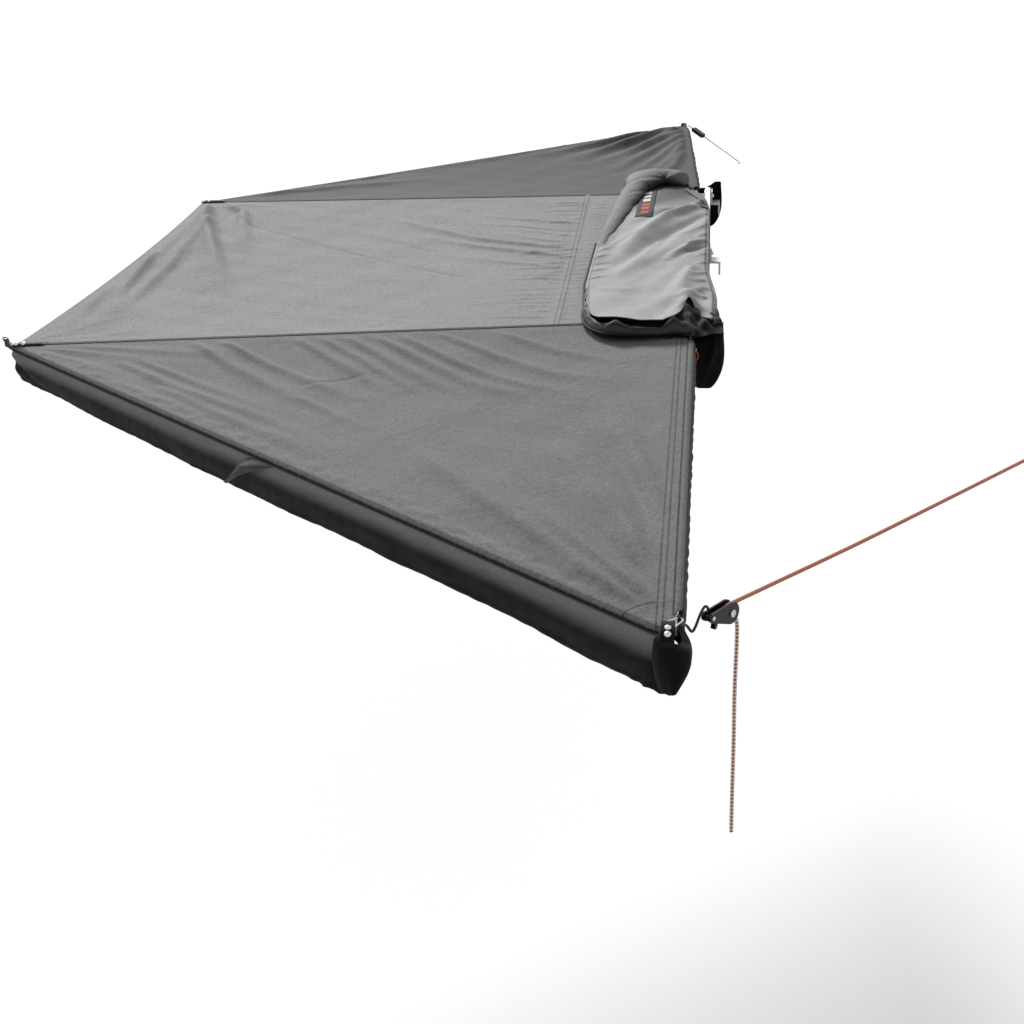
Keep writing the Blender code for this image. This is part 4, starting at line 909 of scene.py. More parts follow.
def valance_shape(edge, depth_at, seed):
    """The shape of one valance. Its u runs down from the roll and its v along the edge."""
    run_length = math.dist(studs[EDGES[edge][0]], studs[EDGES[edge][1]])

    def shape(u, v):
        t = v + END_SHIFT[edge] * u * np.exp(-v / 0.05)
        edge_x, edge_y, edge_z, turn = outer_line(edge, t)
        run = t * run_length
        depth = np.interp(t, *depth_at)
        out, down, w = drop_profile(u, depth, 0.012 + 0.004 * ripple(run, 0 * run, 0.5, seed))
        crumple = ease(w, 0.02, 0.2) * (0.0030 * ripple(run, 3.0 * down, 0.30, seed)
                                        + 0.0016 * ripple(run + down, down, 0.07, 2 + seed))
        swing = 0.004 * w ** 2 * ripple(run, 0.4 * down, 0.45, 5 + seed)
        near_ends = ease(np.minimum(t, 1 - t), 0.0, 0.03)
        if edge == "rear":
            # one slanting fold hangs from each end
            out = out - 0.014 * np.exp(-((w - 0.30 - 9 * t) / 0.16) ** 2) * np.exp(-t / 0.06)
            out = out + 0.008 * np.exp(-((w - 0.15 - 12 * (1 - t)) / 0.2) ** 2) * np.exp(-(1 - t) / 0.05)
        out = out + (crumple + swing) * (0.25 + 0.75 * near_ends) + 0.0012 * ease(w, 0.90, 0.905)
        if edge == "rear":
            # the end at the rope is gathered into the band there
            pull = np.exp(-((1 - t) / 0.028) ** 2)
            spokes = np.sin(34 * np.arctan2(down + 0.012, run_length * (1 - t) + 0.015))
            out = out + 0.0045 * spokes * pull * w
        place = (edge_x + out * np.cos(turn), edge_y + out * np.sin(turn), edge_z - down)
        return place, {"down": w, "below_seam": down - ROLL * (1 - math.cos(ROLL_TURN))}
    return shape


valances = {}
for edge, depth_at, seed in (("rear", rear_depth, 0.2), ("side", even_depth, 1.4),
                             ("front", even_depth, 2.9)):
    made = cloth_grid(f"valance_{edge}_cloth", 40, 300, valance_shape(edge, depth_at, seed), valance_black,
                      ("down", "below_seam"))
    first, last = studs[EDGES[edge][0]], studs[EDGES[edge][1]]
    way = last - first
    outward = (-way[1], way[0], 0) if edge != "rear" else (way[1], -way[0], 0)
    give_thickness(made, VALANCE, outward)
    valances[edge] = made

# %% [markdown]
# Along the two end arms the canopy turns down again, on the vehicle's side, and a flap hangs there. Its
# edge is gathered, so short slanted puckers run down from it. At the corner with the rope it stops early,
# which leaves the hook free, and near both corners it lies closer and lower, clear of the stud.

# %% Side flaps
FLAP_NODES = {4: "side_flap_rear", 1: "side_flap_front"}
FLAP_DEPTH = 0.104
FLAP_SHORT = {4: 0.040, 1: 0.0}
# how far before the stud a flap starts to lie closer, and is all the way in
FLAP_CLOSER = {4: (0.11, 0.05), 1: (0.09, 0.03)}


def flap_shape(number, seed):
    """The shape of the flap along an end arm. Its u runs down and its v outward along the arm."""
    hub = rear_hub if number == 4 else front_hub
    start = abs(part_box(FLAP_NODES[number])[1 if number == 4 else 0][1]) - abs(hub.y)
    far, close = (ARM_REACH - back for back in FLAP_CLOSER[number])

    def shape(u, v):
        reach = start + (ARM_REACH - start - FLAP_SHORT[number]) * v
        if number == 4:
            # the lower part starts a little later, which leaves the zip's pull room to swing
            reach = reach + 0.016 * np.exp(-v / 0.012) * ease(u, 0.15, 0.30)
        turn = math.radians(HEADING[number])
        x = hub.x + reach * math.cos(turn) + SIDE_FLAT
        y = hub.y + reach * math.sin(turn)
        z = HUB_LEVEL + (studs[number][2] - HUB_LEVEL) * reach / ARM_REACH
        phi = np.radians(np.interp(u, (0, ON_ROLL), ROLL_DEGREES))
        radius = SIDE_ROLL - 0.0028 + 0.0034 * ease(u, 0.05, ON_ROLL)
        w = np.clip((u - ON_ROLL) / (1 - ON_ROLL), 0, 1)
        belly = 0.006 * np.sin(math.pi * w ** 0.7)
        out = np.where(u < ON_ROLL, radius * np.sin(phi), SIDE_ROLL + 0.0006 + belly - 0.004 * w)
        down = np.where(u < ON_ROLL, SIDE_ROLL - radius * np.cos(phi),
                        SIDE_ROLL + (FLAP_DEPTH - SIDE_ROLL) * w)
        slant = reach + 0.9 * down
        out = out + ease(w, 0.0, 0.1) * (1 - 0.7 * w) * 0.0045 * ripple(slant, 0.5 * down, 0.055, seed)
        out = out + 0.004 * w ** 2 * ripple(reach, 0.4 * down, 0.4, seed + 4)
        near = ease(reach, far, close) * (1 - w)
        return (x + out - near * 0.010, y, z - down - near * 0.034), {"down": w, "below_seam": down - 0.0085}
    return shape


flaps = {}
for number, seed in ((4, 0.8), (1, 2.2)):
    made = cloth_grid(f"{FLAP_NODES[number]}_cloth", 30, 280, flap_shape(number, seed), flap_black,
                      ("down", "below_seam"))
    give_thickness(made, VALANCE, (1, 0, 0))
    flaps[number] = made

# %% Where they are held
fold_like_fan(valances["rear"])
fold_like_fan(valances["front"])
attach(valances["side"], "rail_and_bag")
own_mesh(valances["side"])
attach(flaps[4], "arm_4")
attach(flaps[1], "arm_1")
for piece, node in ((valances["rear"], "valance_rear"), (valances["side"], "valance_side"),
                    (valances["front"], "valance_front"), (flaps[4], "side_flap_rear"),
                    (flaps[1], "side_flap_front")):
    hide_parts(node)

# %% [markdown]
# ## The bag
#
# The awning travels in a long bag that stays on the rail. Opened, its cover is thrown back over the canopy
# and lies there like an empty coat: flat in the middle, curled up along its far end and its outer edge,
# and open at the near end. It is thinner and smoother cloth than the canopy, so it has more and sharper
# folds. Again a grid is moved: the cover, its curled border, and the lower lip of its mouth.

# %% Bag cloth
def bag_cloth(name, tint, lines=(), rough=0.74):
    """Coated polyester: fine, a little shiny, and creased. Where it has seams, the hollow mark also paints
    shade on it.
    """
    look, tree, shader = start_material(name, rough)
    shader.inputs["Specular IOR Level"].default_value = 0.14 if lines else 0.12
    place, weave, slubs = grain(tree, 0.006)
    creases = add(tree, "TexNoise", None, {"Vector": place, "Scale": 26.0, "Detail": 4.0, "Distortion": 0.6})
    tone = spread(tree, slubs, 0.25, 0.75, 0.92, 1.08)
    if lines:
        # painted shade: where the hollow mark is 0 the tint is darkened to a tenth
        hollow = add(tree, "Attribute", {"attribute_name": "hollow"})
        tone = maths(tree, "MULTIPLY", tone, spread(tree, hollow.outputs["Fac"], 0, 1, 0.10, 1))
    tone = darkened(tree, tone, lines)
    height = maths(tree, "MULTIPLY_ADD", creases.outputs["Fac"], 14.0 if lines else 4.0, weave)
    link_look(tree, shader, scaled(tree, colour(tint)[:3], tone), height, 0.4, 0.0004)
    return look


edge_seam = [("from_edge", 0.012, 0.003, 0.6)]
cover_cloth = bag_cloth("bag_coated_polyester", "#8d908f", edge_seam)
# the border's tint is darker partly for its own cloth and partly as painted shade on the curl and the lip
border_cloth = bag_cloth("bag_border_canvas", "#606261", edge_seam)
lining_cloth = bag_cloth("bag_lining_black_nylon", "#0c0c0c", rough=0.85)
print("bag cloth in three finishes")

# %% Where the cover lies
BAG_CLOTH = 0.0016
cover_low, cover_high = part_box("bag_cover")
COVER_X = cover_high[0]
COVER_NEAR, COVER_FAR = cover_low[1], cover_high[1]
# the cover's width from the rail, at shares of its length
WIDTHS = ((0, 0.06, 0.25, 0.5, 0.68, 0.93, 1), (0.300, 0.350, 0.381, 0.385, 0.360, 0.300, 0.17))


def cover_sides(y):
    """The left and right edges of the cover at a place along the rail."""
    left = COVER_X - np.interp((y - COVER_NEAR) / (COVER_FAR - COVER_NEAR), *WIDTHS)
    return left, COVER_X + 0.026 * ease(-y, 0.35, 0.85) - 0.085 * ease(y, 0.55, 1.14)


def bed(x, y):
    """What the bag lies on: the clamp strip near the rail, then the canopy."""
    share = np.clip((y - rear_hub.y) / (front_hub.y - rear_hub.y), 0, 1)
    tip = studs[3][2] + (studs[2][2] - studs[3][2]) * share
    slope = HUB_LEVEL + (tip - HUB_LEVEL) * np.clip((rear_hub.x - x) / ARM_REACH, 0, 1)
    return slope + 0.0050 + 0.0015 * ease(x, -0.10, -0.06)


def raised(x, y, points, width, heights):
    """A ridge whose height changes evenly along it, and which doesn't fade at its ends."""
    best, level = np.full_like(x, 9.0), np.zeros_like(x)
    steps = np.linspace(heights[0], heights[1], len(points))
    for (ax, ay), (bx, by), first, last in zip(points, points[1:], steps, steps[1:]):
        leg = math.dist((ax, ay), (bx, by))
        t = np.clip(((x - ax) * (bx - ax) + (y - ay) * (by - ay)) / leg ** 2, 0, 1)
        gap = np.hypot(x - ax - t * (bx - ax), y - ay - t * (by - ay))
        level = np.where(gap < best, first + (last - first) * t, level)
        best = np.minimum(best, gap)
    return level * np.exp(-(best / width) ** 2)


cover_folds = [([(-0.045, 0.72), (-0.19, 0.40), (-0.276, 0.08), (-0.36, -0.34)], 0.032, 0.0290),
               ([(-0.05, 0.50), (-0.174, 0.13), (-0.264, -0.21), (-0.37, -0.50)], 0.032, -0.0188),
               ([(-0.043, 0.01), (-0.103, -0.08), (-0.19, -0.32)], 0.019, 0.0188),
               ([(-0.045, -0.07), (-0.11, -0.17), (-0.17, -0.34)], 0.016, -0.0116),
               ([(-0.050, 0.28), (-0.12, 0.12)], 0.014, 0.0087),
               ([(-0.045, -0.48), (-0.095, -0.54)], 0.013, 0.0101),
               ([(-0.045, -0.61), (-0.10, -0.62)], 0.013, 0.0101),
               ([(-0.045, -0.72), (-0.12, -0.90)], 0.022, 0.0203),
               ([(-0.045, -0.87), (-0.08, -0.82)], 0.014, 0.0116),
               ([(-0.09, -0.40), (-0.13, -0.78), (-0.20, -1.02)], 0.029, 0.0174),
               ([(-0.16, -0.30), (-0.24, -0.62), (-0.27, -0.98)], 0.043, -0.0087),
               ([(-0.38, -0.66), (-0.30, -0.72), (-0.24, -0.70)], 0.022, 0.0072),
               ([(-0.06, 0.64), (-0.20, 0.52), (-0.33, 0.24)], 0.022, -0.0101),
               ([(-0.30, 0.10), (-0.37, -0.06), (-0.40, -0.30)], 0.022, 0.0087),
               ([(-0.12, -0.10), (-0.22, -0.36), (-0.30, -0.60)], 0.029, -0.0101),
               ([(-0.20, 0.02), (-0.27, -0.30), (-0.33, -0.56)], 0.022, 0.0087)]
cover_folds += [([(-0.415, y), (-0.350, y + 0.03)], 0.009, 0.0065)
                for y in (-0.52, -0.42, -0.33, -0.24, -0.13, -0.03)]
cover_folds += [([(-0.045, y), (-0.085, y - 0.05)], 0.010, 0.0072) for y in (-0.33, -0.20, 0.12, 0.302, 0.87)]
# the near edge of the cover's upper cloth, whose bumps stand open over the mouth
mouth_line = [(-0.375, -0.97), (-0.351, -1.045), (-0.295, -1.088), (-0.225, -1.16), (-0.164, -1.18),
              (-0.127, -1.12), (-0.093, -1.02), (-0.060, -1.085), (-0.030, -1.115), (-0.012, -1.10)]


def cover_top(x, y):
    """The top of the cover's flat part at a place in plan."""
    left, right = cover_sides(y)
    edge = np.minimum(np.minimum(right - x, x - left), COVER_FAR - y)
    round_over = np.sqrt(1 - (1 - np.clip(edge / 0.022, 0, 1)) ** 2)
    middle = np.sin(math.pi * np.clip((right - x) / (right - left), 0, 1)) ** 1.5
    loft = 0.010 + 0.012 * middle + 0.0035 * ripple(x, y, 0.30, 1.1) + folds(x, y, cover_folds)
    loft = loft + raised(x, y, mouth_line[1:7], 0.045, (0.010, 0.018)) - 0.006 * ease(y, 0.75, 0.95)
    loft = loft + raised(x, y, [(-0.094, -1.03), (-0.115, -0.74)], 0.030, (0.030, 0.004))
    loft = loft + raised(x, y, [(-0.020, -1.10), (-0.026, -0.80)], 0.030, (0.012, 0.010))
    return bed(x, y) + 0.002 + np.maximum(loft, 0.002) * round_over, edge

# %% The cover
# lines beside the curled border, along which the cover is painted in shade
UNDER_ROLL = [(-0.10, 1.10), (-0.24, 1.12), (-0.30, 1.04), (-0.33, 0.86)]
UNDER_CURL = [(-0.335, 0.80), (-0.372, 0.30), (-0.390, -0.30)]


def cover_shape(u, v):
    """The cover: u runs away from the rail, v along it. Three rounds find the mouth's uneven edge."""
    mouth_x, mouth_y = zip(*mouth_line)
    far, low = COVER_FAR - 0.10, COVER_NEAR + 0.13
    y = low + (far - low) * v
    for _ in range(3):
        left, right = cover_sides(y)
        x = right + (left - right) * u
        start = np.interp(x, mouth_x, mouth_y)
        y = start + (far - start) * v
    z, edge = cover_top(x, y)
    # the hollow mark is painted shade on the cover: under the roll, and in the crease beside the curl
    open_sky = 1 - ease(raised(x, y, UNDER_ROLL, 0.28, (1, 1)), 0.10, 0.75)
    open_sky = open_sky * (1 - raised(x, y, UNDER_CURL, 0.024, (0.7, 0.3)))
    return (x, y, z), {"from_edge": np.minimum(edge, x - left), "hollow": open_sky}


cover = cloth_grid("bag_cover_cloth", 120, 300, cover_shape, cover_cloth, ("from_edge", "hollow"))
give_thickness(cover, BAG_CLOTH)

# %% [markdown]
# The curled border is the bag's edging. Its tint is darker than the cover's, partly for its own duller cloth
# and partly as painted shade on the roll. Its section is most of an ellipse, and it is swept along a path
# round the far end, growing smaller toward its end. Its free edge hangs over the cover, which leaves a real
# hollow there, and so a real shadow, deepened by painted shade on the cover. Painted shade also darkens
# the cloth inside the curl and on its outer wall.

# %% The curled border
def plan_line(*places, spacing=0.004):
    """A smooth route through places in plan."""
    return smooth_line([Vector((x, y, 0)) for x, y in places], spacing)


def along_route(route, v):
    """The places at shares v of a route in plan, and the way to its right there."""
    line = np.array([tuple(p) for p in route])
    share = np.linspace(0, 1, len(line))
    dx, dy = np.gradient(line[:, 0]), np.gradient(line[:, 1])
    size = np.hypot(dx, dy)
    return [np.interp(v, share, values) for values in (line[:, 0], line[:, 1], dy / size, -dx / size)]


curl_line = plan_line((-0.132, 1.12), (-0.17, 1.14), (-0.22, 1.16), (-0.285, 1.12), (-0.322, 0.98),
                      (-0.350, 0.74), (-0.373, 0.46), (-0.392, 0.20), (-0.403, -0.02))
CURL_SHARES = (0, 0.03, 0.10, 0.16, 0.26, 0.55, 0.85, 1)
HALF_WIDTHS = (0.012, 0.088, 0.105, 0.080, 0.046, 0.034, 0.022, 0.012)
HALF_HEIGHTS = (0.006, 0.028, 0.033, 0.032, 0.026, 0.016, 0.010, 0.004)
# the free edge is this many degrees round the section, and the section runs back by the second number
CURL_FROM, CURL_ROUND = 232, 262


def curl_shape(u, v):
    """The curl: u runs round its section from the free edge, v along it."""
    cx, cy, out_x, out_y = along_route(curl_line, v)
    turn = np.radians(CURL_FROM - CURL_ROUND * u)
    uneven = (1 + 0.07 * ripple(3.0 * v, 0.9 * u, 0.55, 2.2)
              + 0.05 * ripple(3.0 * v + 0.8 * u, 0 * u, 0.24, 0.5))
    wide = np.interp(v, CURL_SHARES, HALF_WIDTHS) * uneven
    high = np.interp(v, CURL_SHARES, HALF_HEIGHTS) * (1 + 0.5 * (uneven - 1))
    side = np.cos(turn)
    x, y = cx - out_x * side * wide, cy - out_y * side * wide
    z = bed(cx, cy) + 0.003 + high * (1 + np.sin(turn)) - 0.004 * (1 - u) * (1 - v)
    # painted shade on the curl: on its outer wall, its inner wall and its underside
    outer_wall = (1 - 0.5 * ease(v, 0.25, 0.5)) * ease(u, 0.5, 0.58) * ease(turn, 1.35, 0.2)
    inner_wall = 0.5 * ease(turn, 2.2, 3.3) * ease(v, 0.1, 0.2)
    open_sky = ease(np.sin(turn), -0.9, 0.1) * (1 - outer_wall) * (1 - inner_wall)
    return (x, y, z), {"from_edge": np.full_like(u, 0.5), "hollow": open_sky}


curl = cloth_grid("bag_curled_border", 60, 220, curl_shape, border_cloth, ("from_edge", "hollow"))
give_thickness(curl, BAG_CLOTH)

# %% [markdown]
# The mouth at the near end has a lower lip of the same edging. It starts flat under the cover, runs out to
# the bag's edge, and there rolls up, higher at some places than at others.

# %% The mouth's lower lip
lip_line = plan_line((-0.412, -0.60), (-0.408, -0.78), (-0.400, -0.93), (-0.372, -1.08), (-0.320, -1.165),
                     (-0.230, -1.190), (-0.150, -1.196), (-0.085, -1.190))
LIP_HEIGHTS = ((0, 0.25, 0.45, 0.62, 0.70, 0.74, 0.80, 0.90, 0.945, 0.975, 1),
               (0.006, 0.012, 0.024, 0.021, 0.024, 0.036, 0.020, 0.016, 0.046, 0.020, 0.008))
LIP_DEPTH = 0.075
# the share of the lip's grid that lies flat
LIP_FLAT = 0.6


def lip_shape(u, v):
    """The lip: u runs from under the cover outward and up, v along the bag's edge."""
    cx, cy, out_x, out_y = along_route(lip_line, v)
    w = np.clip((u - LIP_FLAT) / (1 - LIP_FLAT), 0, 1)
    high = np.interp(v, *LIP_HEIGHTS)
    deep = LIP_DEPTH * (1 - u / LIP_FLAT) * (u < LIP_FLAT)
    roll = math.pi * 0.75 * w
    inward = deep + 0.35 * high * (1 - np.cos(roll)) + 0.004 * ripple(3.0 * v, u, 0.4, 1.7) * w
    x, y = cx - out_x * inward, cy - out_y * inward
    z = bed(x, y) + 0.0012 + high * np.sin(roll * 0.62) * (w > 0)
    # the hollow mark paints shade on the lip: darkest where it lies flat under the cover, under half bright
    # where it rolls up
    return (x, y, z), {"from_edge": 0.03 * (1 - w), "hollow": 0.42 * ease(w, 0.0, 0.25)}


lip = cloth_grid("bag_mouth_lip", 50, 200, lip_shape, border_cloth, ("from_edge", "hollow"))
give_thickness(lip, BAG_CLOTH)

# %% [markdown]
# The zip and its piping run along the cover's outer edge: a cord sewn into the seam. The bag's label and
# its closing tab are flat woven pieces, sewn on. The label has plain bars woven in, pale on its far half and
# red on its near half, and no letters.

# %% Piping, label and tab
def woven(name, base, thread, size=0.004):
    """Narrow woven tape: ribs across it."""
    look, tree, shader = start_material(name, 0.8)
    shader.inputs["Specular IOR Level"].default_value = 0.10
    place = add(tree, "TexCoord").outputs["Object"]
    ribs = add(tree, "TexWave", {"bands_direction": "Y"},
               {"Vector": place, "Scale": ONE_WAVE / size, "Distortion": 0.3}).outputs["Fac"]
    link_look(tree, shader, mixed(tree, ribs, colour(base), colour(thread)), ribs, 0.4, 0.0003)
    return look


LABEL_LINE = ((-0.276, 0.42), (-0.277, 1.00))
LABEL_MIDDLE = (-0.2765, 0.71)
BAR_HALF_LENGTH = 0.014
BARS_HALF_RUN = 0.235
BAR_PITCH = 0.085
# the share of each pitch that is left dark
BAR_GAP = 0.45
label_weave = woven("label_woven_polyester", "#141110", "#262120")
tree = label_weave.node_tree
shader = next(node for node in tree.nodes if node.type == "BSDF_PRINCIPLED")
ground = shader.inputs["Base Color"].links[0].from_socket
on_label = add(tree, "TexCoord").outputs["Object"]
spot = add(tree, "SeparateXYZ", None, {0: on_label})
bars = add(tree, "TexWave", {"bands_direction": "Y", "wave_profile": "SAW"},
           {"Vector": on_label, "Scale": ONE_WAVE / BAR_PITCH})
shown = maths(tree, "GREATER_THAN", bars.outputs["Fac"], BAR_GAP)
shown = maths(tree, "MULTIPLY", shown,
              maths(tree, "COMPARE", spot.outputs["X"], LABEL_MIDDLE[0], BAR_HALF_LENGTH))
shown = maths(tree, "MULTIPLY", shown,
              maths(tree, "COMPARE", spot.outputs["Y"], LABEL_MIDDLE[1], BARS_HALF_RUN))
is_red = maths(tree, "LESS_THAN", spot.outputs["Y"], LABEL_MIDDLE[1])
thread = mixed(tree, is_red, colour("#d9d6d2"), colour("#c8401f"))
tree.links.new(mixed(tree, shown, ground, thread), shader.inputs["Base Color"])
tab_weave = woven("tab_nylon_webbing", "#5d5f5f", "#777979")
piping_dark = woven("piping_black_polyester", "#161616", "#2a2a2a", 0.003)


def by_length(line):
    """A function that gives the places at shares of a line's length."""
    path = np.array(line, dtype=float)
    steps = np.insert(np.cumsum(np.hypot(*np.diff(path, axis=0).T)), 0, 0)
    return lambda share: [np.interp(share * steps[-1], steps, path[:, k]) for k in (0, 1)]


def laid_strip(name, line, half_width, lift, thickness, look):
    """A flat strip along a line, on the cover."""
    place = by_length(line)

    def shape(u, v):
        cx, cy = place(v)
        bx, by = place(np.clip(v + 0.02, 0, 1))
        ax, ay = place(np.clip(v - 0.02, 0, 1))
        size = np.hypot(bx - ax, by - ay)
        side = (2 * u - 1) * half_width
        x, y = cx - side * (by - ay) / size, cy + side * (bx - ax) / size
        return (x, y, cover_top(x, y)[0] + lift), {}
    made = cloth_grid(name, 16, 120, shape, look, ())
    give_thickness(made, thickness)
    return made


label = laid_strip("bag_label", LABEL_LINE, 0.032, 0.0022, 0.0012, label_weave)
tab = laid_strip("bag_closing_tab", [(-0.056, 0.60), (-0.068, 0.80), (-0.090, 0.93), (-0.122, 1.03)], 0.017,
                 0.004, 0.0014, tab_weave)
PIPING_RADIUS = 0.0042
piping_plan = [(float(cover_sides(y)[0]) - 0.002, y) for y in np.arange(0.05, -0.90, -0.05)]
piping_plan += [(-0.399, -0.96), (-0.378, -1.085), (-0.324, -1.172), (-0.232, -1.197)]
piping_line = [Vector((x, y, float(bed(np.array(x), np.array(y))) + 0.0035)) for x, y in piping_plan]
piping = tube("bag_piping", smooth_line(piping_line, 0.006), PIPING_RADIUS, piping_dark, 10)[0]
bag_soft = [cover, curl, lip, label, tab, piping]

# %% [markdown]
# At each end of the rail the bag's lining hangs down as a limp black pouch, rounded at the bottom, with
# soft upright folds. Behind the canopy a flat panel of the same cloth closes the bag toward the rail.

# %% Linings and back panel
def lining_shape(end, seed):
    """The shape of the lining's outer face at one end, and which way along the rail that face looks."""
    low, high = (np.array(side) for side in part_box(f"bag_lining_{end}"))
    way = -1 if high[1] < 0 else 1
    face = low[1] if way < 0 else high[1]
    left, right = low[0] - 0.003, high[0] + 0.009

    def shape(u, v):
        top = high[2] - 0.004 + 0.026 * ease(u, 0.2, 0.85)
        z = top + (low[2] - top) * v
        shrink = np.sqrt(np.clip(1 - np.clip((v - 0.62) / 0.38, 0, 1) ** 2.2, 0, 1))
        middle = (left + right) / 2 - 0.006 * ease(v, 0.5, 1)
        half_width = (right - left) / 2 * (0.10 + 0.90 * shrink) * (1 - 0.05 * np.cos(7 * v))
        rim = np.minimum(1 - np.abs(2 * u - 1), 1.6 * (1 - v))
        puff = np.sqrt(1 - (1 - np.clip(rim / 0.35, 0, 1)) ** 2)
        wander = 0.12 * np.sin(5 * v + seed)
        creases = (np.exp(-((u - 0.62 - wander) / 0.07) ** 2)
                   - 0.8 * np.exp(-((u - 0.42 - wander) / 0.09) ** 2))
        folded = (0.006 * creases + 0.004 * ripple(u + 0.3 * v, 0.7 * v, 0.45, seed)
                  + 0.003 * np.sin(9 * v + 6 * u))
        out = -0.017 + 0.019 * puff + folded * puff - 0.030 * ease(v, 0.22, 0.0)
        return (middle + (2 * u - 1) * half_width, face + way * out, z), {}
    return shape, way


linings = {}
for end, seed in (("rear", 0.6), ("front", 2.4)):
    shape, way = lining_shape(end, seed)
    linings[end] = cloth_grid(f"bag_lining_{end}_cloth", 70, 90, shape, lining_cloth, ())
    give_thickness(linings[end], 0.0018, (0, way, 0))

back_low, back_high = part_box("bag_back_panel")


def back_shape(u, v):
    """A nearly flat panel: u runs up, v along the rail."""
    y = back_low[1] + (back_high[1] - back_low[1]) * v
    z = back_low[2] + (back_high[2] - back_low[2]) * u
    x = back_low[0] + 0.0018 - 0.0022 * np.abs(ripple(y, z, 0.16, 0.4)) * np.sin(math.pi * u)
    return (x, y, z), {}


back_panel = cloth_grid("bag_back_panel_cloth", 30, 240, back_shape, lining_cloth, ())
give_thickness(back_panel, 0.0012, (1, 0, 0))

# %% [markdown]
# A gusset of the same black cloth closes the bag's near end, from the lining's top to the inside of the
# mouth. The bag is open, so it lies slack, in bumps.

# %% The gusset
GUSSET_NEAR, GUSSET_FAR = -1.206, -0.985


def gusset_shape(u, v):
    """The gusset: u runs toward the rail, v from the bag's end inward."""
    x = -0.150 + (0.155 - 0.018 * v) * u
    near = GUSSET_NEAR + 0.012 * np.sin(9 * u)
    y = near + (GUSSET_FAR - near) * v
    base = 0.062 + 0.012 * u
    under = cover_top(np.clip(x, -0.2, -0.03), np.full_like(x, -1.02))[0] - 0.006
    slack = np.sin(math.pi * v) * (1 - 0.7 * v)
    bumps = 0.013 * (1 + ripple(2 * u, 2 * v, 0.8, 0.9)) + 0.007 * np.sin(26 * u + 8 * v)
    return (x, y, base + (under - base) * v ** 0.8 + slack * bumps), {}


gusset = cloth_grid("bag_end_gusset", 80, 70, gusset_shape, lining_cloth, ())
give_thickness(gusset, BAG_CLOTH)

# %% The bag moves with the canopy
for piece in [*bag_soft, gusset]:
    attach(piece, "rail_and_bag")
    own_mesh(piece)
    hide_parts("bag_cover")
for piece, node in ((linings["rear"], "bag_lining_rear"), (linings["front"], "bag_lining_front"),
                    (back_panel, "bag_back_panel")):
    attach(piece, "rail_and_bag")
    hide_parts(node)

# %% [markdown]
# ## The corners
#
# At the corner with the rope the rear valance runs on round the corner, below the hook, as a loose lobe of
# black cloth. A double seam marks where it begins. Its top turns inward like a shoulder.

# %% The lobe at the rope's corner
lobe_line = plan_line((-0.124, -3.0195), (-0.111, -3.035), (-0.095, -3.043), (-0.077, -3.038),
                      (-0.064, -3.018), (-0.060, -2.985), (-0.066, -2.945), (-0.074, -2.915), spacing=0.003)
LOBE_TOP = ((0, 0.12, 0.3, 0.6, 0.85, 1), (-0.012, -0.016, -0.028, -0.040, -0.040, -0.034))
LOBE_FOOT = ((0, 0.25, 0.5, 0.75, 1), (-0.121, -0.118, -0.110, -0.103, -0.098))


def lobe_shape(u, v):
    """The lobe: u runs down from its shoulder, v round the corner."""
    cx, cy, out_x, out_y = along_route(lobe_line, v)
    top, foot = np.interp(v, *LOBE_TOP), np.interp(v, *LOBE_FOOT)
    shoulder, w = np.clip(u / 0.25, 0, 1), np.clip((u - 0.25) / 0.75, 0, 1)
    out = -0.015 * (1 - np.sin(shoulder * math.pi / 2)) + 0.006 * np.sin(math.pi * w ** 0.8) - 0.014 * w ** 2
    creased = 0.006 * np.sin(17 * v + 3.0 * w) * np.sin(math.pi * v) * (0.4 + 0.6 * w)
    out = out + creased * ease(u, 0.05, 0.3)
    z = top + 0.010 * (1 - shoulder) ** 1.5 + (foot - top) * w
    return (cx + out_x * out, cy + out_y * out, z), {"down": 0.35 + 0.65 * w,
                                                     "below_seam": np.abs(v - 0.035) * 0.30 + 0.0005}


# the lobe's upper colour is a painted highlight too
lobe_black = black_cloth("corner_black_canvas", "#111111", "#060606", [("below_seam", 0.004, 0.0012, 0.8)])
lobe = cloth_grid("valance_corner_lobe", 60, 110, lobe_shape, lobe_black, ("down", "below_seam"))
give_thickness(lobe, VALANCE, (0.6, -0.8, 0))
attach(lobe, "arm_4")

# %% [markdown]
# A strap is sewn into the rear valance's seam, and hangs out of it, folded over on itself to a narrow end.

# %% The strap's end
def beside_valance(t, out, down):
    """A place outside the rear valance."""
    x, y, z, turn = (float(np.asarray(k)) for k in outer_line("rear", np.array(t)))
    return np.array((x + out * math.cos(turn), y + out * math.sin(turn), z - down))


STRAP_STATIONS = (0, 0.35, 0.7, 1)
strap_left = np.array([beside_valance(*p) for p in ((0.489, 0.016, 0.016), (0.481, 0.036, 0.040),
                                                   (0.471, 0.046, 0.068), (0.4625, 0.048, 0.094))])
strap_right = np.array([beside_valance(*p) for p in ((0.532, 0.016, 0.013), (0.512, 0.040, 0.030),
                                                    (0.490, 0.050, 0.060), (0.4665, 0.050, 0.094))])


def strap_shape(u, v):
    """The strap: u runs across it, v down from the seam."""
    edges = [[np.interp(v, STRAP_STATIONS, side[:, k]) for k in range(3)]
             for side in (strap_left, strap_right)]
    x, y, z = (a + (b - a) * u for a, b in zip(*edges))
    lift = (0.010 * np.sin(math.pi * u) * np.sin(math.pi * np.clip(v * 1.1, 0, 1))
            + 0.004 * np.sin(7 * v + 3 * u) * v)
    return (x - 0.7 * lift, y - 0.7 * lift, z + 0.5 * lift), {}


strap_webbing = woven("strap_grey_webbing", "#403e3c", "#5c5956", 0.003)
strap_end = cloth_grid("valance_strap_end", 24, 50, strap_shape, strap_webbing, ())
give_thickness(strap_end, 0.0018, (-0.5, -0.5, 0.7))
fold_like_fan(strap_end)
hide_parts("valance_strap")
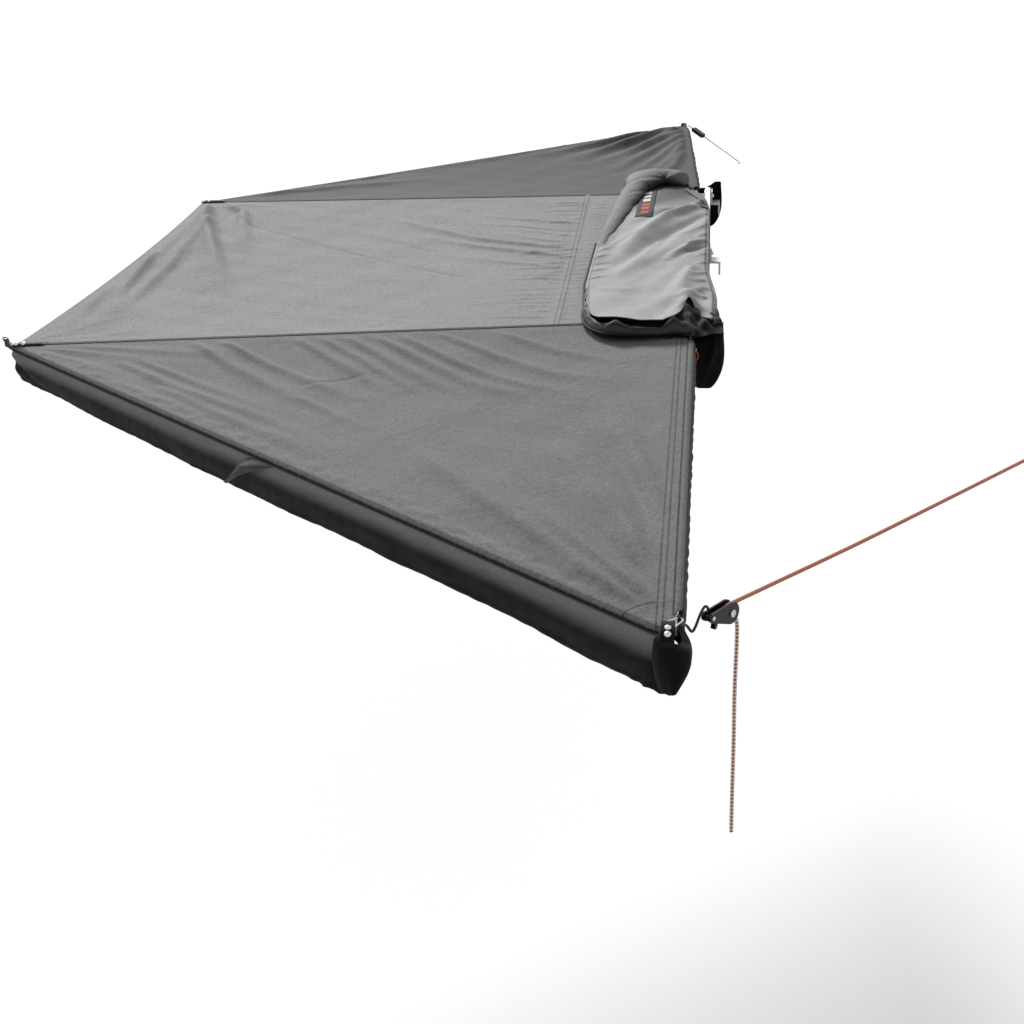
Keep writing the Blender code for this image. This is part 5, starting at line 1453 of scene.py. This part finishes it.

# %% [markdown]
# Black tape covers the two seams over the outer arms, and its black is also painted shade for the valley
# at each seam. A sleeve of canvas over each outer tip takes the pull of its stud.

# %% Seam tapes and tip sleeves
def along_arm(name, number, first, last, half_width, lift, thickness, look, domed=0.0):
    """A strip of cloth over an arm, from one distance from its hub to another."""
    def shape(u, v):
        reach = first + (last - first) * v
        end = np.minimum(v, 1 - v) * abs(last - first)
        wide = half_width * np.sqrt(1 - (1 - np.clip(end / half_width, 0, 1)) ** 2 * 0.96)
        side = (2 * u - 1) * wide
        x, y, z = over_arm(number, reach, side)
        bump = domed * np.sqrt(np.clip(1 - (side / half_width) ** 2, 0, 1)) * ease(end, 0, 0.02)
        return (x, y, z + lift + bump), {"from_rim": np.minimum(end, wide * (1 - np.abs(2 * u - 1)))}
    made = cloth_grid(name, 16, 160, shape, look, ("from_rim",))
    give_thickness(made, thickness)
    return made


# the tape's black is partly painted shade, for the valley at each seam
seam_shade_black = woven("seam_tape_black_polyester", "#060606", "#121212", 0.003)
sleeve_canvas = canvas("tip_sleeve_canvas", "#6c6d6f", [("from_rim", 0.002, 0.0035, 0.85)])
for number in (2, 3):
    tape = along_arm(f"seam_tape_{number}", number, 0.10, 1.90, 0.0105, 0.0010, 0.0008, seam_shade_black)
    sleeve = along_arm(f"tip_sleeve_{number}", number, 1.885, 1.994, 0.019, 0.0012, 0.0016, sleeve_canvas,
                       domed=0.006)
    for piece in (tape, sleeve):
        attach(piece, f"arm_{number}")

# %% [markdown]
# At the two corners beside the vehicle a band of webbing goes over the wire ring and holds it down. It is a
# strip that follows a line over the ring and back under the canopy's edge.

# %% Corner bands
def hoop_band(name, number, half_width, line, look):
    """A band across a corner. Its line is in distance beyond the stud and height above the cloth there."""
    place = by_length(line)

    def shape(u, v):
        beyond, high = place(v)
        side = (2 * u - 1) * half_width * (1 - 0.08 * np.sin(math.pi * v))
        x, y, _ = over_arm(number, ARM_REACH + beyond, side)
        return (x, y, studs[number][2] + high), {}
    made = cloth_grid(name, 20, 90, shape, look, ())
    give_thickness(made, 0.0018)
    return made


BAND_LINE = ((-0.024, 0.0020), (-0.012, 0.0080), (0.000, 0.0108), (0.012, 0.0095), (0.026, 0.0050),
             (0.037, -0.0020), (0.0425, -0.0120), (0.0415, -0.0220), (0.0360, -0.0290), (0.0280, -0.0310))
band_black = woven("corner_band_black_webbing", "#0c0c0c", "#1b1b1b", 0.003)
for number in (4, 1):
    band = hoop_band(f"corner_band_{number}", number, 0.0135, BAND_LINE, band_black)
    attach(band, f"arm_{number}")

# %% [markdown]
# ## Small metal and plastic pieces
#
# The rivets are nickel-plated domes. One is modelled as by hand: a short cylinder, its top face inset and
# raised, its edges rounded. The others are copies of it, each with its own mesh, turned and moved into place.

# %% Nickel plate
def metal(name, base, roughness, scratched, worn):
    """Bare or plated metal, with fine scratches and a few duller marks."""
    look, tree, shader = start_material(name, roughness, 1.0)
    place = add(tree, "TexCoord").outputs["Object"]
    marks = add(tree, "TexNoise", None, {"Vector": place, "Scale": 55.0, "Detail": 5.0}).outputs["Fac"]
    scratches = add(tree, "TexNoise", None, {"Vector": place, "Scale": 420.0, "Detail": 2.0,
                                             "Distortion": 1.5})
    tint = mixed(tree, spread(tree, marks, 0.52, 0.72, 0, 1), colour(base), colour(worn))
    rough = spread(tree, marks, 0.3, 0.7, roughness * 0.8, roughness * 1.5)
    tree.links.new(rough, shader.inputs["Roughness"])
    link_look(tree, shader, tint, scratches.outputs["Fac"], scratched, 0.0002)
    return look


nickel = metal("rivet_nickel_plated_steel", "#e6e5e2", 0.24, 0.15, "#b9b7b2")
print("nickel plate made")

# %% Rivets
def faces_where(made, test):
    """Selects in edit mode the faces whose centre and normal pass a test."""
    bpy.ops.object.mode_set(mode="EDIT")
    bpy.ops.mesh.select_mode(type="FACE")
    bpy.ops.mesh.select_all(action="DESELECT")
    shape = bmesh.from_edit_mesh(made.data)
    for face in shape.faces:
        face.select_set(bool(test(face.calc_center_median(), face.normal)))
    shape.select_flush_mode()
    bmesh.update_edit_mesh(made.data)


def pull_out(move, size):
    """Extrudes the selected faces, moves them, and scales them about their own middle."""
    bpy.ops.mesh.extrude_region()
    bpy.ops.transform.translate(value=move)
    shape = bmesh.from_edit_mesh(bpy.context.object.data)
    picked = [vertex.co.copy() for vertex in shape.verts if vertex.select]
    bpy.ops.transform.resize(value=size, center_override=sum(picked, Vector()) / len(picked))


def finish_piece(made, look, angle):
    """Puts a finished piece's place into its mesh, and gives it its material."""
    if made.mode != "OBJECT":
        bpy.ops.object.mode_set(mode="OBJECT")
    bpy.ops.object.transform_apply(location=True, rotation=True, scale=True)
    bpy.ops.object.shade_smooth_by_angle(angle=math.radians(angle))
    made.data.materials.clear()
    made.data.materials.append(look)
    return made


RIVET_RADIUS = 0.0064
RIVET_RIM = 0.0022
bpy.ops.object.select_all(action="DESELECT")
bpy.ops.mesh.primitive_cylinder_add(vertices=36, radius=RIVET_RADIUS, depth=RIVET_RIM,
                                    location=(0, 0, RIVET_RIM / 2))
rivet = bpy.context.object
rivet.name = rivet.data.name = "rivet_corner_4_outer"
faces_where(rivet, lambda centre, normal: normal.z > 0.9)
bpy.ops.mesh.inset(thickness=0.0022)
bpy.ops.transform.translate(value=(0, 0, 0.0016))
bpy.ops.mesh.inset(thickness=0.0026)
bpy.ops.transform.translate(value=(0, 0, 0.0008))
faces_where(rivet, lambda centre, normal: normal.z > 0.1)
bpy.ops.mesh.bevel(offset=0.0005, segments=2, affect="EDGES")
bpy.ops.object.mode_set(mode="OBJECT")
finish_piece(rivet, nickel, 60)


def set_rivet(name, place, tilt):
    """A copy of the rivet at a place, turned by a tilt in degrees."""
    made = rivet.copy()
    made.data = rivet.data.copy()
    made.name = made.data.name = name
    bpy.context.scene.collection.objects.link(made)
    turn = Matrix.Rotation(math.radians(tilt[2]), 4, "Z") @ Matrix.Rotation(math.radians(tilt[0]), 4, "X")
    made.data.transform(Matrix.Translation(place) @ turn)
    return made


def on_cloth(number, reach, aside, lift):
    """A place over an arm, lifted off the cloth."""
    return Vector(over_arm(number, reach, aside)) + Vector((0, 0, lift))


rivets = []
for number in (4, 1):
    heading = HEADING[number] + 90
    stud_cap = set_rivet(f"rivet_corner_{number}_stud", on_cloth(number, ARM_REACH + 0.019, 0, 0.0080),
                         (12, 0, heading))
    band_cap = set_rivet(f"rivet_corner_{number}_band", on_cloth(number, ARM_REACH + 0.0335, 0, 0.0025),
                         (30, 0, heading))
    rivets += [(stud_cap, number), (band_cap, number)]
# the two rivets of an outer tip stand on the side of its arm that is nearer to the camera
TIP_ASIDE = 0.013
for number in (3, 2):
    left, right = (over_arm(number, ARM_REACH, aside) for aside in (TIP_ASIDE, -TIP_ASIDE))
    aside = TIP_ASIDE if left[1] < right[1] else -TIP_ASIDE
    for k, back in enumerate((0.003, 0.024)):
        place = on_cloth(number, ARM_REACH - back, aside, 0.0066)
        rivets.append((set_rivet(f"rivet_tip_{number}_{k + 1}", place, (36, 0, 0)), number))
bpy.data.objects.remove(rivet)
for piece, number in rivets:
    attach(piece, f"arm_{number}")
print(len(rivets), "rivets")

# %% [markdown]
# The outer rear arm ends in a black nylon fitting whose nose turns up beyond the cloth. One block is
# extruded face by face: along the tube, past the cloth where it slims and rises, then up into the nose.

# %% Moulded nylon
def moulded(name, base, rough=0.42):
    """Moulded nylon: a fine spark-eroded skin with paler rubbed patches."""
    look, tree, shader = start_material(name, rough)
    place = add(tree, "TexCoord").outputs["Object"]
    skin = add(tree, "TexNoise", None, {"Vector": place, "Scale": 900.0, "Detail": 2.0})
    rubbed = add(tree, "TexNoise", None, {"Vector": place, "Scale": 38.0, "Detail": 4.0}).outputs["Fac"]
    tint = scaled(tree, colour(base)[:3], spread(tree, rubbed, 0.35, 0.75, 0.7, 1.8))
    dull = spread(tree, rubbed, 0.3, 0.7, rough * 0.85, rough * 1.25)
    tree.links.new(dull, shader.inputs["Roughness"])
    link_look(tree, shader, tint, skin.outputs["Fac"], 0.12, 0.0002)
    return look


tip_nylon = moulded("tip_moulded_nylon", "#191919")
print("black nylon made")

# %% The nosed tip
tip_low, tip_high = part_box("arm_3_tip")
TIP_BLOCK = (0.021, 0.024, 0.022)
# each step's move, and how the end face is scaled after it
NOSE_STEPS = (((-0.052, 0, 0), (1, 1, 1)), ((-0.018, 0, 0.004), (1, 0.9, 0.85)),
              ((-0.020, 0, 0.013), (1, 0.9, 0.75)), ((-0.010, 0, 0.004), (1, 1, 0.9)))
bpy.ops.object.select_all(action="DESELECT")
block_place = (tip_high[0] - TIP_BLOCK[0] / 2, rear_hub.y, tip_low[2] + 0.012)
bpy.ops.mesh.primitive_cube_add(size=1, location=block_place, scale=TIP_BLOCK)
nose_tip = bpy.context.object
nose_tip.name = nose_tip.data.name = "arm_3_nosed_tip"
bpy.ops.object.transform_apply(location=True, rotation=True, scale=True)
faces_where(nose_tip, lambda centre, normal: normal.x < -0.9)
for move, size in NOSE_STEPS:
    pull_out(move, size)
NOSE_LENGTH = 0.026
faces_where(nose_tip, lambda centre, normal: normal.z > 0.8 and centre.x < tip_low[0] + NOSE_LENGTH)
pull_out((-0.005, 0, 0.014), (1.35, 0.85, 1))
bpy.ops.mesh.inset(thickness=0.0025)
bpy.ops.transform.translate(value=(0, 0, -0.003))
bpy.ops.object.mode_set(mode="OBJECT")
soften = nose_tip.modifiers.new("edges", "BEVEL")
soften.width = 0.0016
soften.segments = 3
soften.limit_method = "ANGLE"
bpy.ops.object.modifier_apply(modifier=soften.name)
finish_piece(nose_tip, tip_nylon, 50)
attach(nose_tip, "arm_3")
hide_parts("arm_3_tip")
print("the nose reaches", round(min(p.co.x for p in nose_tip.data.vertices), 4), "m out")

# %% [markdown]
# The front cord's tensioner is a ribbed block that slides on the cord. It is cut into twelve cells along its
# length, and every second one is raised, which leaves bars all round it.

# %% The ribbed tensioner
BLOCK_SIZE = (0.088, 0.021, 0.015)
BLOCK_WAY = Vector((0.2458, -0.3488, -0.1251)).normalized()     # along the cord
BLOCK_CELLS = 12
RIB_HEIGHT = 0.0028
cell = BLOCK_SIZE[0] / BLOCK_CELLS
bpy.ops.object.select_all(action="DESELECT")
bpy.ops.mesh.primitive_cube_add(size=1, location=(0, 0, 0), scale=BLOCK_SIZE)
block = bpy.context.object
block.name = block.data.name = "ribbed_tensioner"
bpy.ops.object.transform_apply(location=True, rotation=True, scale=True)
bpy.ops.object.mode_set(mode="EDIT")
bpy.ops.mesh.select_all(action="SELECT")
for k in range(1, BLOCK_CELLS):
    bpy.ops.mesh.bisect(plane_co=(k * cell - BLOCK_SIZE[0] / 2, 0, 0), plane_no=(1, 0, 0))
    bpy.ops.mesh.select_all(action="SELECT")
faces_where(block, lambda centre, normal: (abs(normal.x) < 0.1
                                           and int((centre.x + BLOCK_SIZE[0] / 2) / cell) % 2))
bpy.ops.mesh.extrude_region()
bpy.ops.transform.shrink_fatten(value=RIB_HEIGHT)
bpy.ops.object.mode_set(mode="OBJECT")
soften = block.modifiers.new("edges", "BEVEL")
soften.width = 0.0007
soften.segments = 2
soften.limit_method = "ANGLE"
bpy.ops.object.modifier_apply(modifier=soften.name)
block_turn = BLOCK_WAY.to_track_quat("X", "Z").to_matrix().to_4x4()
block.data.transform(Matrix.Translation(centre_of("cord_tensioner")) @ block_turn)
finish_piece(block, tip_nylon, 35)
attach(block, "cord_tensioner")
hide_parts("cord_tensioner")
print("tensioner with", BLOCK_CELLS // 2, "bars")

# %% [markdown]
# ## The frame's finishes
#
# The pieces that the CAD shows as they are get the finish of their real material: drawn and anodised
# aluminium for tubes and brackets, zinc plate on bolts, a semi-gloss coating on the ratchet, bare nylon for
# the washers. Only the material in a node's slots changes.

# %% The finishes
def coated(name, base, rough):
    """A baked black coating on steel: semi-gloss, a little uneven, chipped grey at some places."""
    look, tree, shader = start_material(name, rough)
    shader.inputs["Specular IOR Level"].default_value = 0.25
    shader.inputs["Coat Weight"].default_value = 0.15
    shader.inputs["Coat Roughness"].default_value = 0.18
    place = add(tree, "TexCoord").outputs["Object"]
    peel = add(tree, "TexNoise", None, {"Vector": place, "Scale": 260.0, "Detail": 2.0})
    chips = add(tree, "TexNoise", None, {"Vector": place, "Scale": 95.0, "Detail": 6.0, "Roughness": 0.7})
    tint = mixed(tree, spread(tree, chips.outputs["Fac"], 0.66, 0.72, 0, 1), colour(base), colour("#6d6a66"))
    link_look(tree, shader, tint, peel.outputs["Fac"], 0.08, 0.0002)
    return look


black_coat = coated("ratchet_baked_black_coating", "#050505", 0.20)
anodised = metal("anodised_drawn_aluminium", "#b9bbbc", 0.38, 0.20, "#9a9c9d")
zinc = metal("zinc_plated_steel", "#c8c8c6", 0.30, 0.14, "#a3a19b")
white_nylon = moulded("washer_bare_nylon", "#b8b4a8", 0.5)
black_nylon = moulded("cap_moulded_black_nylon", "#191919", 0.45)
orange = woven("pull_orange_braided_cord", "#d8451c", "#f06a3a", 0.003)

# the CAD's own material names, and the finish that each gets
FINISHES = {"anodised_aluminium": anodised, "plated_steel": zinc, "black_plastic": black_nylon,
            "black_coated_metal": black_coat, "nylon_washer": white_nylon, "orange_cord": orange}
finished = 0
for piece in bpy.data.objects:
    for slot in piece.material_slots:
        for wanted, look in FINISHES.items():
            if slot.material and slot.material.name.split(".")[0].endswith(wanted):
                slot.material = look
                finished += 1
print(finished, "CAD slots given a finish")

# %% [markdown]
# ## The cloth's cut sizes
#
# Each sheet is listed with the size that it was cut to before it was hung, and the area that it covers is
# printed beside that size's area. The two fans are triangles, so they also give the area of their cut.

cut_sizes = [(middle_panel, (2.10, 2.06), "stretched", ["arm_2_tube", "arm_3_tube", "clamp_strip"]),
             (rear_panel, (2.02, 2.02, 2.06), "stretched", ["arm_3_tube", "arm_4_tube"]),
             (front_panel, (2.02, 2.02, 2.05), "stretched", ["arm_1_tube", "arm_2_tube"]),
             (valances["rear"], (2.86, 0.125), "hung", ["arm_3_tip", "arm_4_tip"]),
             (valances["side"], (2.07, 0.112), "hung", ["arm_2_tip", "arm_3_tip"]),
             (valances["front"], (2.82, 0.112), "hung", ["arm_1_tip", "arm_2_tip"]),
             (flaps[4], (1.80, 0.110), "hung", ["arm_4_tube"]),
             (flaps[1], (1.80, 0.110), "hung", ["arm_1_tube"]),
             (lobe, (0.180, 0.120), "hung", ["arm_4_tip"]),
             (strap_end, (0.150, 0.060), "hung", []),
             (cover, (2.45, 0.42), "laid", ["clamp_strip"]), (curl, (1.36, 0.20), "laid", ["clamp_strip"]),
             (lip, (0.95, 0.11), "laid", ["clamp_strip"]), (gusset, (0.22, 0.19), "hung", ["clamp_strip"]),
             (linings["rear"], (0.19, 0.13), "hung", ["backing_rail"]),
             (linings["front"], (0.19, 0.13), "hung", ["backing_rail"]),
             (back_panel, (2.32, 0.168), "hung", ["backing_rail"]),
             (label, (0.60, 0.064), "laid", []), (tab, (0.46, 0.034), "laid", [])]
for piece, flat, held, on in cut_sizes:
    covered = sum(polygon.area for polygon in piece.data.polygons) / 2
    print(piece.name, "covers", round(covered, 4), "of", round(flat[0] * flat[1], 4), "m2")

# %% Sizes and finish
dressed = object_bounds()
for axis_name, low, high in zip("XYZ", *dressed):
    print(axis_name, round(low, 3), "to", round(high, 3))
